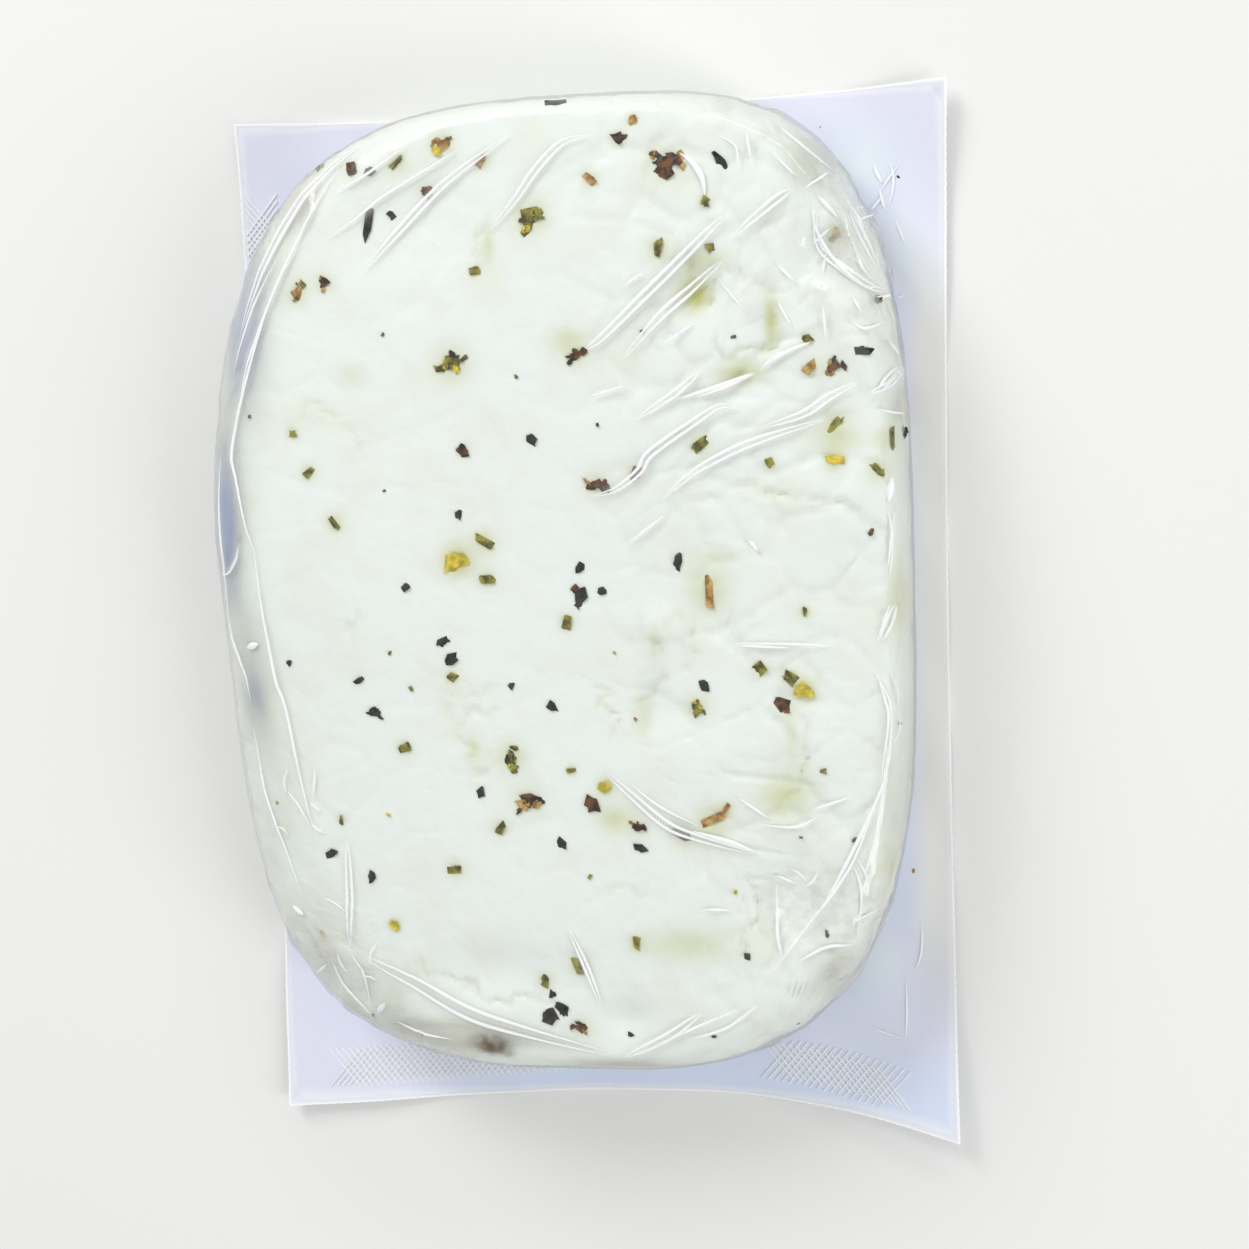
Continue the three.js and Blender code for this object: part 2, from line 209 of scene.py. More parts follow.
@dataclass(frozen=True)
class Swell:
    """A broad rise or hollow, with its place and half widths in the plan, and its rise."""

    x: float
    y: float
    half_width: float
    half_height: float
    rise: float

    def at(self, x: np.ndarray, y: np.ndarray) -> np.ndarray:
        """Height at each place."""
        return self.rise * bell(np.hypot((x - self.x) / self.half_width, (y - self.y) / self.half_height))


def swells_at(swells: tuple[Swell, ...], x: np.ndarray, y: np.ndarray) -> np.ndarray:
    """Sum of the heights of all swells at each place."""
    return sum((swell.at(x, y) for swell in swells), np.zeros_like(x))


@dataclass(frozen=True)
class Crease:
    """A fold of film or a crack of cheese along a smooth plan curve."""

    half_width: float
    height: float
    route: tuple[tuple[float, float], ...]
    twin: float = 0.0

    def curve(self, steps_each: int = 8) -> np.ndarray:
        """The route as a smooth line through its points.

        Args:
            steps_each: how many steps lie between two points.

        Returns:
            The line's places, n by 2.
        """
        knots = np.array([self.route[0], *self.route, self.route[-1]], float)
        line = []
        for before, start, end, after in zip(knots, knots[1:], knots[2:], knots[3:]):
            for t in np.arange(steps_each) / steps_each:
                bend = 2 * start + (end - before) * t
                bend = bend + (2 * before - 5 * start + 4 * end - after) * t**2
                line.append(0.5 * (bend + (3 * start - before - 3 * end + after) * t**3))
        return np.array([*line, knots[-1]])

    def field(self, x: np.ndarray, y: np.ndarray) -> tuple[np.ndarray, np.ndarray]:
        """Measure from each place to the route.

        Args:
            x: plan places.
            y: plan places.

        Returns:
            The distances, and the shares of the way along, 0 to 1.
        """
        line = self.curve(5)
        nearest = np.full(x.shape, 1e9)
        along = np.zeros(x.shape)
        for i, (start, end) in enumerate(zip(line, line[1:])):
            step = end - start
            t = ((x - start[0]) * step[0] + (y - start[1]) * step[1]) / max(step @ step, 1e-9)
            t = np.clip(t, 0.0, 1.0)
            distance = np.hypot(x - start[0] - t * step[0], y - start[1] - t * step[1])
            closer = distance < nearest
            nearest = np.where(closer, distance, nearest)
            along = np.where(closer, (i + t) / (len(line) - 1), along)
        return nearest, along


def creases_at(creases: tuple[Crease, ...], x: np.ndarray, y: np.ndarray) -> tuple[np.ndarray, np.ndarray]:
    """Height of all creases at each place, and how near each place is to a crest.

    Args:
        creases: the folds or cracks.
        x: plan places.
        y: plan places.

    Returns:
        The summed height, and the nearness from 0 to 1.
    """
    height = np.zeros_like(x)
    crest = np.zeros_like(x)
    for crease in creases:
        line = crease.curve(2)
        low = line.min(0) - 5 * crease.half_width
        high = line.max(0) + 5 * crease.half_width
        inside = (x > low[0]) & (x < high[0]) & (y > low[1]) & (y < high[1])
        distance, along = crease.field(x[inside], y[inside])
        thin = np.clip(np.sin(math.pi * along), 0.0, 1.0) ** 0.8
        broad = np.exp(-((distance / crease.half_width) ** 2))
        sharp = np.exp(-((distance / (0.4 * crease.half_width)) ** 2))
        height[inside] += crease.height * thin * (0.4 * broad + 0.6 * sharp)
        crest[inside] = np.maximum(crest[inside], thin * broad)
    return height, crest


# The outlines and the skin of the pouch


@dataclass(frozen=True)
class Outline:
    """A plan outline of four quarter superellipses: its reaches, and how square its corners are."""

    right: float
    left: float
    top: float
    bottom: float
    top_right: float
    top_left: float
    bottom_left: float
    bottom_right: float

    def quarter(self, u: np.ndarray, v: np.ndarray) -> tuple[np.ndarray, np.ndarray, np.ndarray]:
        """Look up the quarter that each place lies in.

        Args:
            u: first coordinates on the edge of the unit square.
            v: second coordinates.

        Returns:
            Reach in X, reach in Y and corner exponent of each.
        """
        reach_x = np.where(u < 0, self.left, self.right)
        reach_y = np.where(v < 0, self.bottom, self.top)
        upper = np.where(u < 0, self.top_left, self.top_right)
        lower = np.where(u < 0, self.bottom_left, self.bottom_right)
        return reach_x, reach_y, np.where(v < 0, lower, upper)

    def point(self, u: np.ndarray, v: np.ndarray) -> tuple[np.ndarray, np.ndarray]:
        """Find the place on the outline towards each place of the unit square.

        Args:
            u: first coordinates on the edge of the unit square.
            v: second coordinates.

        Returns:
            The places, as X and Y.
        """
        reach_x, reach_y, corner = self.quarter(u, v)
        shrink = np.maximum(np.abs(u) ** corner + np.abs(v) ** corner, 1e-9) ** (-1.0 / corner)
        return u * shrink * reach_x, v * shrink * reach_y

    def beyond(self, x: np.ndarray, y: np.ndarray) -> np.ndarray:
        """How far each place lies beyond the outline, as a share of the way from its middle.

        Args:
            x: plan places.
            y: plan places.

        Returns:
            The shares, 0 on the outline and inside it.
        """
        reach_x, reach_y, corner = self.quarter(x, y)
        share = (np.abs(x / reach_x) ** corner + np.abs(y / reach_y) ** corner) ** (1.0 / corner)
        return np.maximum(0.0, share - 1.0)


FOOT_OUTLINE = Outline(45.6, 48.2, 72.4, 61.4, 3.6, 3.0, 3.4, 3.0)

FACE_SWELLS = (
    Swell(19.5, 46.5, 5, 5, -1.1),
    Swell(29, 42.5, 3, 6, -0.8),
    Swell(25.5, 35, 6, 3.5, -0.6),
    Swell(36, 50, 5, 6, -1.2),
    Swell(38, 20, 8, 10, 0.7),
    Swell(33, -12, 8, 9, 0.6),
    Swell(14, 3, 5, 4, 0.6),
    Swell(12, -8, 3, 6, -0.9),
    Swell(30, -34, 7, 8, -1.2),
    Swell(20, -16, 9, 7, 0.5),
    Swell(-20, 58, 14, 9, -0.6),
    Swell(-10, -46, 14, 6, -0.8),
    Swell(-24, 8, 18, 22, 0.3),
    Swell(7, -52, 5, 4, -0.9),
)

WALL_SWELLS = (
    Swell(-51, 22, 4, 13, 0.9),
    Swell(-47, -14, 5, 9, -1.2),
    Swell(-44, -40, 6, 8, 0.9),
    Swell(-34, -52, 6, 5, -1.1),
    Swell(-12, -60, 12, 4, 1.0),
    Swell(24, -56, 8, 5, -0.9),
    Swell(40, -44, 5, 7, 0.8),
    Swell(42, 58, 5, 6, -1.1),
)


@dataclass(frozen=True)
class Skin:
    """A domed slab: face, rounded shoulder, belly and wall down to its foot, in millimetres."""

    face: Outline = Outline(43.6, 45.0, 70.5, 57.0, 3.2, 2.6, 3.5, 2.5)
    belly: Outline = Outline(46.4, 52.8, 74.3, 62.2, 3.8, 3.0, 3.5, 3.0)
    foot: Outline = FOOT_OUTLINE
    base: float = 0.75
    top: float = 22.0
    edge_drop: float = 1.5
    belly_left: float = 13.0
    belly_height: float = 6.0
    slant: float = 0.22
    slant_from: float = 14.0
    wall_slant: float = 0.06
    shoulder_share: float = 0.62
    shoulder_power: float = 2.2
    tent_power: float = 1.6

    def places(self, u: np.ndarray, v: np.ndarray) -> np.ndarray:
        """Map places of the square of half width 2 onto the skin.

        Args:
            u: first coordinate, -1 to 1 over the face and to 2 at the foot.
            v: second coordinate, likewise.

        Returns:
            Places in millimetres, n by 3.
        """
        ring = np.maximum(np.maximum(np.abs(u), np.abs(v)), 1e-9)
        edge_u, edge_v = u / ring, v / ring
        face_x, face_y = self.face.point(edge_u, edge_v)
        slanted = np.maximum(0.0, self.slant_from - face_y) * np.clip(-face_x / self.face.left, 0.0, 1.0)
        face_x = face_x + self.slant * slanted
        belly_x, belly_y = self.belly.point(edge_u, edge_v)
        foot_x, foot_y = self.foot.point(edge_u, edge_v)
        belly_x = belly_x + self.wall_slant * slanted
        foot_x = foot_x + self.wall_slant * slanted
        inner = np.minimum(ring, 1.0)
        down = np.clip(ring - 1.0, 0.0, 1.0)
        turn = np.clip(down / self.shoulder_share, 0.0, 1.0) * (math.pi / 2)
        left_share = smoothstep(0.0, 1.0, -edge_u)
        power = self.shoulder_power + (self.tent_power - self.shoulder_power) * left_share
        out = np.sin(turn) ** (2 / power)
        up = np.maximum(np.cos(turn), 0.0) ** (2 / power)
        under = np.clip((down - self.shoulder_share) / (1 - self.shoulder_share), 0.0, 1.0)
        tuck = 1.0 - np.cos(under * (math.pi / 2))
        x = face_x * inner + (belly_x - face_x) * out + (foot_x - belly_x) * tuck
        y = face_y * inner + (belly_y - face_y) * out + (foot_y - belly_y) * tuck
        belly_z = self.belly_height + (self.belly_left - self.belly_height) * left_share
        face_z = self.top - self.edge_drop * inner**4
        face_z = face_z + swells_at(FACE_SWELLS, face_x * inner, face_y * inner)
        bulge = swells_at(WALL_SWELLS, x, y) * np.sin(2 * turn)
        shoulder_z = belly_z + (face_z - belly_z) * up + bulge
        wall_z = self.base + (belly_z - self.base) * (1.0 - under)
        return np.stack([x, y, np.where(down > self.shoulder_share, wall_z, shoulder_z)], -1)


@dataclass(frozen=True)
class RingGrid:
    """A plane grid whose middle covers the face and whose outer rings cover wall and skirt."""

    face_x: int
    face_y: int
    wall: int
    skirt: int = 0

    def axis(self, face_cells: int) -> np.ndarray:
        """Space the grid lines along one axis, 1 at the edge of the face and 2 at the foot.

        Args:
            face_cells: how many cells lie across the face.

        Returns:
            The coordinates, in rising order.
        """
        half = face_cells / 2
        steps = np.arange(face_cells + 2 * (self.wall + self.skirt) + 1) - half - self.wall - self.skirt
        distance = np.abs(steps)
        on_face = np.minimum(distance, half) / half
        on_wall = np.clip((distance - half) / self.wall, 0.0, 1.0)
        on_skirt = np.maximum(distance - half - self.wall, 0.0) / max(self.skirt, 1)
        return np.sign(steps) * (on_face + on_wall + on_skirt)

    def coordinates(self) -> tuple[np.ndarray, np.ndarray]:
        """Coordinates u and v of every vertex, row by row."""
        u, v = np.meshgrid(self.axis(self.face_x), self.axis(self.face_y))
        return u.ravel(), v.ravel()

    def quads(self) -> np.ndarray:
        """List the corners of every cell, counter-clockwise seen from +Z.

        Returns:
            Vertex numbers, n by 4.
        """
        across = len(self.axis(self.face_x))
        rows = len(self.axis(self.face_y))
        corner = (np.arange(rows - 1)[:, None] * across + np.arange(across - 1)).ravel()
        return np.stack([corner, corner + 1, corner + across + 1, corner + across], -1)

    def border(self) -> np.ndarray:
        """List the outermost loop of vertices, counter-clockwise.

        Returns:
            Vertex numbers.
        """
        across = len(self.axis(self.face_x))
        rows = len(self.axis(self.face_y))
        grid = np.arange(rows * across).reshape(rows, across)
        return np.concatenate([grid[0, :-1], grid[:-1, -1], grid[-1, :0:-1], grid[:0:-1, 0]])

    def normals(self, places: np.ndarray) -> np.ndarray:
        """Work out unit normals from the differences of rows and columns.

        Args:
            places: the mapped vertices, n by 3.

        Returns:
            The normals, n by 3.
        """
        across = len(self.axis(self.face_x))
        grid = places.reshape(-1, across, 3)
        normal = np.cross(np.gradient(grid, axis=1), np.gradient(grid, axis=0)).reshape(-1, 3)
        return normal / np.maximum(np.linalg.norm(normal, axis=1, keepdims=True), 1e-9)


def make_mesh(
    name: str, places: np.ndarray, faces: list, values: dict[str, np.ndarray] | None = None
) -> bpy.types.Object:
    """Make a mesh object at the origin.

    Args:
        name: the object's name.
        places: vertices in millimetres, n by 3.
        faces: each face's vertex numbers.
        values: float attributes on the vertices.

    Returns:
        The object, linked to the scene, with smooth faces.
    """
    mesh = bpy.data.meshes.new(name)
    mesh.from_pydata((places * MM).tolist(), [], faces)
    for key, numbers in (values or {}).items():
        layer = mesh.attributes.new(key, "FLOAT", "POINT")
        layer.data.foreach_set("value", np.asarray(numbers, np.float32))
    mesh.shade_smooth()
    mesh.set_sharp_from_angle(angle=SHARP_FROM)
    made = bpy.data.objects.new(name, mesh)
    bpy.context.scene.collection.objects.link(made)
    return made


def close_with_fan(
    places: np.ndarray, quads: np.ndarray, border: np.ndarray, base: float
) -> tuple[np.ndarray, list]:
    """Close a mapped grid below with a flat fan.

    Args:
        places: vertices of the grid.
        quads: its cells.
        border: its outer loop.
        base: height of the fan's middle.

    Returns:
        All vertices and all faces.
    """
    middle = len(places)
    ends = np.roll(border, -1)
    fan = [[int(b), int(a), middle] for a, b in zip(border, ends)]
    return np.vstack([places, [[0.0, 0.0, base]]]), quads.tolist() + fan


def tree_of(piece: bpy.types.Object) -> BVHTree:
    """A search tree over a piece's triangles, in metres."""
    mesh = piece.data
    return BVHTree.FromPolygons([v.co for v in mesh.vertices], [p.vertices for p in mesh.polygons])


# What the pack carries and how it is folded


FILM_FOLDS = (
    Crease(1.3, 0.9, ((-31, -44.5), (-24, -47.6), (-15.8, -51.9), (-7.6, -54.3), (4.6, -57.2)), 1.6),
    Crease(0.8, 0.5, ((17.6, -50.7), (12.6, -54.4), (6.5, -57.6)), 0.9),
    Crease(0.7, 0.4, ((23.2, -49.8), (15, -53.6), (9, -56.7))),
    Crease(1.0, 0.7, ((-26, 68.6), (-34, 62.6), (-40.5, 53.5), (-45, 44)), 0.9),
    Crease(0.7, 0.4, ((-29, 65.5), (-32.1, 61.2), (-38.9, 49.3), (-43.7, 39.1), (-45.2, 33.3))),
    Crease(
        0.7, 0.5,
        ((-34.2, 56), (-39, 49.2), (-43.9, 37.3), (-46.8, 27.8), (-46.3, 23.6), (-45, 16.7), (-43.6, 12.9)),
    ),
    Crease(
        0.7, 0.6,
        ((-44, 14), (-43.4, 6.1), (-41.9, -4.3), (-40.6, -8.8), (-38.8, -20.2), (-37.6, -26.1)),
    ),
    Crease(0.6, 0.3, ((-50.2, 5.3), (-49.7, 1.4), (-48.4, -1.8), (-47.3, -4.9), (-47, -8.2))),
    Crease(0.6, 0.3, ((-49.2, 27), (-49.8, 18.8), (-49.8, 11.4), (-50, 3.8))),
    Crease(0.6, 0.3, ((-46.6, 38), (-43.8, 44.8), (-41.9, 48.6), (-38.6, 53.6))),
    Crease(0.5, 0.4, ((-46.5, 14.4), (-47.1, 12.4), (-48.8, 10.4), (-50.5, 10.1))),
    Crease(0.6, 0.3, ((-47.5, -12), (-46, -20), (-43.2, -28), (-40.4, -36))),
    Crease(0.5, 0.3, ((-37.8, -26), (-39.6, -22.8), (-41.4, -20.6))),
    Crease(0.8, 0.5, ((-32.4, -27.2), (-32.6, -35.8), (-33.3, -43.3)), 0.8),
    Crease(0.8, 0.5, ((-4.4, 68.2), (-13.7, 62.4), (-20.9, 56.1), (-25.5, 51.4)), 0.8),
    Crease(0.7, 0.4, ((-12, 66.6), (-15.5, 64.7), (-22.6, 61.1), (-26.9, 58.2), (-31, 56))),
    Crease(0.7, 0.4, ((6, 67.4), (2.5, 66.7), (-1.2, 63.3), (-4, 59.7), (-7.6, 55.9)), 0.8),
    Crease(0.6, 0.35, ((-18.6, 67.9), (-24.8, 64.2), (-29.1, 62.2))),
    Crease(0.9, 0.6, ((24.2, 56.5), (21.5, 54.1), (14.4, 47.7), (7.4, 41.4), (5.1, 39.9)), 0.9),
    Crease(0.8, 0.5, ((32.5, 59.2), (30.1, 57.6), (24.8, 53.5)), 0.8),
    Crease(0.8, 0.5, ((23.7, 50.7), (19.1, 47.1), (15.1, 43.7), (10, 38.4)), 0.9),
    Crease(0.6, 0.3, ((13, 49.5), (10.4, 47.8))),
    Crease(0.6, 0.3, ((19.6, 42.7), (15.8, 40.3))),
    Crease(0.7, 0.4, ((20.3, 36.5), (16.7, 33.6), (11.6, 30.5)), 0.7),
    Crease(0.7, 0.4, ((27.3, 35.9), (23.6, 34.3), (19.7, 33.1))),
    Crease(0.6, 0.35, ((33.4, 39.3), (30, 38), (28.1, 36.3))),
    Crease(0.6, 0.3, ((10.2, 34.9), (5.4, 33.6))),
    Crease(
        0.9, 0.6,
        ((25, 31.4), (22.7, 31.8), (19.2, 29.8), (13.3, 25.9), (11.7, 23.6), (8.5, 21.3), (5.4, 20.5)),
        0.8,
    ),
    Crease(0.8, 0.5, ((40.5, 34.3), (37, 32.6), (33.6, 30.5), (27.9, 28.8)), 0.8),
    Crease(0.8, 0.5, ((36.2, 29.7), (30.1, 28), (24.8, 26.2), (19.4, 23.5), (14.7, 19.9)), 0.8),
    Crease(0.6, 0.4, ((45.6, 36.2), (44.6, 34.2), (42.2, 32.8)), 0.6),
    Crease(0.7, 0.5, ((35.6, 56.5), (35.9, 51.9), (39.2, 48.8), (42.4, 46.5), (43.8, 46.1)), 0.7),
    Crease(0.6, 0.4, ((39.7, 56.2), (41.3, 52.7), (43, 49)), 0.6),
    Crease(0.6, 0.3, ((14.9, 17.7), (10.1, 14.1))),
    Crease(0.8, 0.35, ((23.7, 0.6), (31.1, 0.4), (36.6, 0.1))),
    Crease(0.9, 0.6, ((5.6, -16.9), (9, -20), (13.7, -24), (17.9, -25.8), (25.6, -28)), 0.9),
    Crease(0.7, 0.4, ((9.1, -18.5), (13, -21.6), (18.4, -24.3))),
    Crease(0.8, 0.5, ((43, -18), (38.6, -29.4), (32.4, -38.2), (27.5, -44.6))),
    Crease(0.6, 0.4, ((44.2, 17.7), (44.6, 14.8), (44, 9.9))),
    Crease(0.6, 0.4, ((44.2, 5.4), (42.6, 0.5))),
    Crease(0.7, 0.5, ((42.4, -3.6), (43.4, -7), (43.8, -10.1), (42.6, -18.5))),
    Crease(0.8, 0.5, ((-0.4, -39.1), (1.8, -44.6), (3.6, -50)), 0.6),
)

# Painted highlights: bright glints drawn as white beads on the film, with no fold under them
GLINTS = (
    Crease(0.5, 0.4, ((30.8, 67.6), (34, 64.7), (37.4, 61.8))),
    Crease(0.5, 0.3, ((30.4, 63.7), (33.3, 60.8))),
    Crease(0.5, 0.2, ((26.9, 66.9), (27.5, 63))),
    Crease(0.5, 0.2, ((23.1, 66.6), (25.5, 65), (25.7, 62.3))),
    Crease(0.5, 1.6, ((18.2, 64.6), (19.9, 63.2), (21.1, 61.2), (21.4, 59))),
    Crease(0.5, 0.7, ((35.3, 57.7), (35.6, 54.1), (38, 50), (41.6, 46.7), (43.5, 46.6))),
    Crease(0.5, 0.6, ((39, 55.9), (39.9, 52.5), (41.5, 48.7), (43.3, 46.8))),
    Crease(0.5, 0.4, ((39.1, 57.8), (40.7, 55.2), (41.4, 52.6))),
    Crease(0.5, 0.3, ((34.4, 59.3), (37.2, 61.5))),
    Crease(0.5, 1.0, ((35.8, 58.4), (38.4, 55.4))),
    Crease(0.5, 0.7, ((30.5, 49.8), (32.8, 47.5))),
    Crease(0.5, 0.2, ((22.9, 48.2), (26.5, 43.7))),
    Crease(0.5, 0.4, ((30.5, 45.1), (32.3, 41.8))),
    Crease(0.5, 0.3, ((36.4, 44.3), (36.7, 40))),
    Crease(0.5, 0.6, ((40.2, 45.2), (41.2, 43.4))),
    Crease(0.5, 0.5, ((39.8, 42.3), (41.6, 41.2), (43.8, 42))),
    Crease(0.5, 0.5, ((44.4, 39.7), (45.2, 37.7))),
    Crease(0.5, 0.6, ((43.3, 33.2), (45.5, 36.2)), 0.7),
    Crease(0.5, 0.8, ((28.8, 36.9), (31.5, 38.5), (34.9, 39.8))),
    Crease(0.5, 1.2, ((17, 32.9), (23.7, 34.7), (27.1, 36))),
    Crease(0.5, 0.4, ((43.3, 30.8), (46, 29.9))),
    Crease(0.5, 2.0, ((44.7, 22), (44.3, 18.8))),
    Crease(0.5, 0.6, ((44.9, 17.6), (44.3, 9.1))),
    Crease(0.5, 0.6, ((43.1, 0.7), (44.9, 5.2)), 0.8),
    Crease(0.5, 0.6, ((42.2, -3.7), (44, -7.7), (43.8, -14.4), (43.3, -17.2))),
    Crease(0.5, 0.7, ((43.3, -17.2), (41.7, -21.6), (37.3, -30.5), (32.8, -38.6))),
    Crease(0.5, 0.4, ((33.7, -21.9), (38.4, -20.3))),
    Crease(0.5, 0.4, ((26.9, -24), (31.3, -24.3), (34.1, -23))),
    Crease(0.5, 0.6, ((23.7, -20.3), (27.7, -23.1))),
    Crease(0.5, 1.2, ((17.3, -24.9), (22.6, -26.5), (25.9, -27.8))),
    Crease(0.5, 0.4, ((38.8, -29.6), (39.8, -33.4), (38.8, -40.9))),
    Crease(0.5, 0.5, ((28.4, -31.1), (30.8, -32.4))),
    Crease(0.5, 0.5, ((28.4, -32.2), (28.4, -39.3), (29, -42.5))),
    Crease(0.5, 0.3, ((18.3, -35.9), (22.3, -35.9))),
    Crease(0.5, 0.6, ((31.2, -43), (35.2, -41), (38.2, -40.8))),
    Crease(0.5, 0.4, ((16.1, -54.5), (21.1, -52.7), (25.5, -49.3))),
    Crease(0.5, 0.5, ((24.2, 0.3), (31, -0.1))),
    Crease(0.5, 0.6, ((26, 14.3), (27.3, 12.7))),
    Crease(0.5, 1.8, ((-46.6, -0.3), (-44.4, 0.5))),
    Crease(0.5, 0.5, ((-37.8, -22.1), (-36.3, -23.5))),
    Crease(0.5, 1.4, ((-42.3, -37.8), (-40.5, -39.1))),
    Crease(0.5, 0.5, ((-40.5, -48.9), (-37.8, -46.5))),
    Crease(0.5, 0.5, ((-36.8, -45.5), (-35.5, -50.4), (-31.4, -54.5))),
    Crease(0.5, 0.4, ((-33.2, -44.3), (-31.7, -47.2), (-31.8, -52.9))),
    Crease(0.5, 1.4, ((-30.6, -53.8), (-28.4, -51.4))),
    Crease(0.5, 0.5, ((-27.3, -54.2), (-23.3, -55.6), (-18.6, -56.1))),
    Crease(0.5, 0.8, ((41.2, 63.6), (42.4, 61))),
    Crease(0.5, 0.3, ((43, 64.3), (43.9, 62.4), (43.8, 59.8), (43.2, 58.1))),
    Crease(0.5, 0.7, ((42, 60.2), (42.8, 57.3))),
    Crease(0.5, 0.5, ((44.2, 56), (45.4, 52.6))),
    Crease(0.5, 0.3, ((46.2, -42.9), (46.1, -47), (45.2, -50))),
    Crease(0.5, 0.3, ((43.8, -51.3), (43.9, -56.3), (43.7, -59.7))),
    Crease(0.5, 0.3, ((38.7, -58.5), (40.7, -59.2), (43.7, -59.9))),
)

# Crumpled parts of the film: middle x, y, half widths, main way of the hooks in degrees, count
CRUMPLED = (
    (39, 53, 4.5, 8, 55, 6),
    (36, -32, 5, 8, 70, 5),
    (-39, -32, 4, 11, 100, 5),
    (-33, -48, 4, 4, 130, 3),
    (44, -8, 1.2, 9, 85, 2),
)

CURD_CRACKS = (
    Crease(0.6, -0.32, ((9.5, 5), (12.5, 1.5), (14.5, -1.5), (12, -7), (10, -12))),
    Crease(0.5, -0.35, ((13.5, 1.5), (17, 3.5), (19, 0), (16.5, -4))),
    Crease(0.5, -0.2, ((-30, 6), (-29.5, 3), (-30, 0))),
    Crease(0.5, -0.15, ((-19, -5), (-14, -6.5), (-9, -6))),
    Crease(0.6, -0.3, ((33, -13.5), (32.5, -17), (31.5, -20))),
    Crease(0.6, -0.4, ((20, 42), (23, 39), (29, 38), (30.5, 43), (29, 48))),
    Crease(0.6, -0.35, ((14, 49), (20, 50), (26, 48), (31, 47))),
    Crease(0.5, -0.5, ((19, 44), (22, 46), (23, 49))),
    Crease(0.5, -0.15, ((-38, 32), (-32, 32.5), (-28, 28), (-29, 24))),
    Crease(0.6, -0.4, ((24, 22), (30, 20), (37, 19), (43, 17))),
    Crease(0.6, -0.25, ((-8, 58), (-10, 54), (-9, 50))),
    Crease(0.5, -0.2, ((12, -31), (9, -33.5), (4, -34))),
    Crease(0.6, -0.4, ((23, -30), (26, -36), (22, -43))),
    Crease(0.6, -0.35, ((-26, -45), (-14, -48.5), (0, -52.5))),
    Crease(0.5, -0.25, ((30, -6), (34, -13), (31, -19), (26, -23))),
    Crease(0.5, -0.3, ((-16, -11), (-12, -14), (-13, -18))),
    Crease(0.5, -0.22, ((-18, -7.5), (-15, -10.5), (-11.5, -9.5), (-8.5, -7.5))),
    Crease(0.4, -0.25, ((2, -3), (6, -6), (7, -10), (4.5, -13))),
    Crease(0.4, -0.25, ((22, 6), (25, 2), (24, -3))),
)


class Herb(Enum):
    """The kinds of flake in the cheese, by the slot that each takes its finish from."""

    DARK = "herb_dark"
    OLIVE = "herb_olive"
    BROWN = "herb_brown"
    STRAW = "herb_straw"
    GOLDEN = "herb_golden"


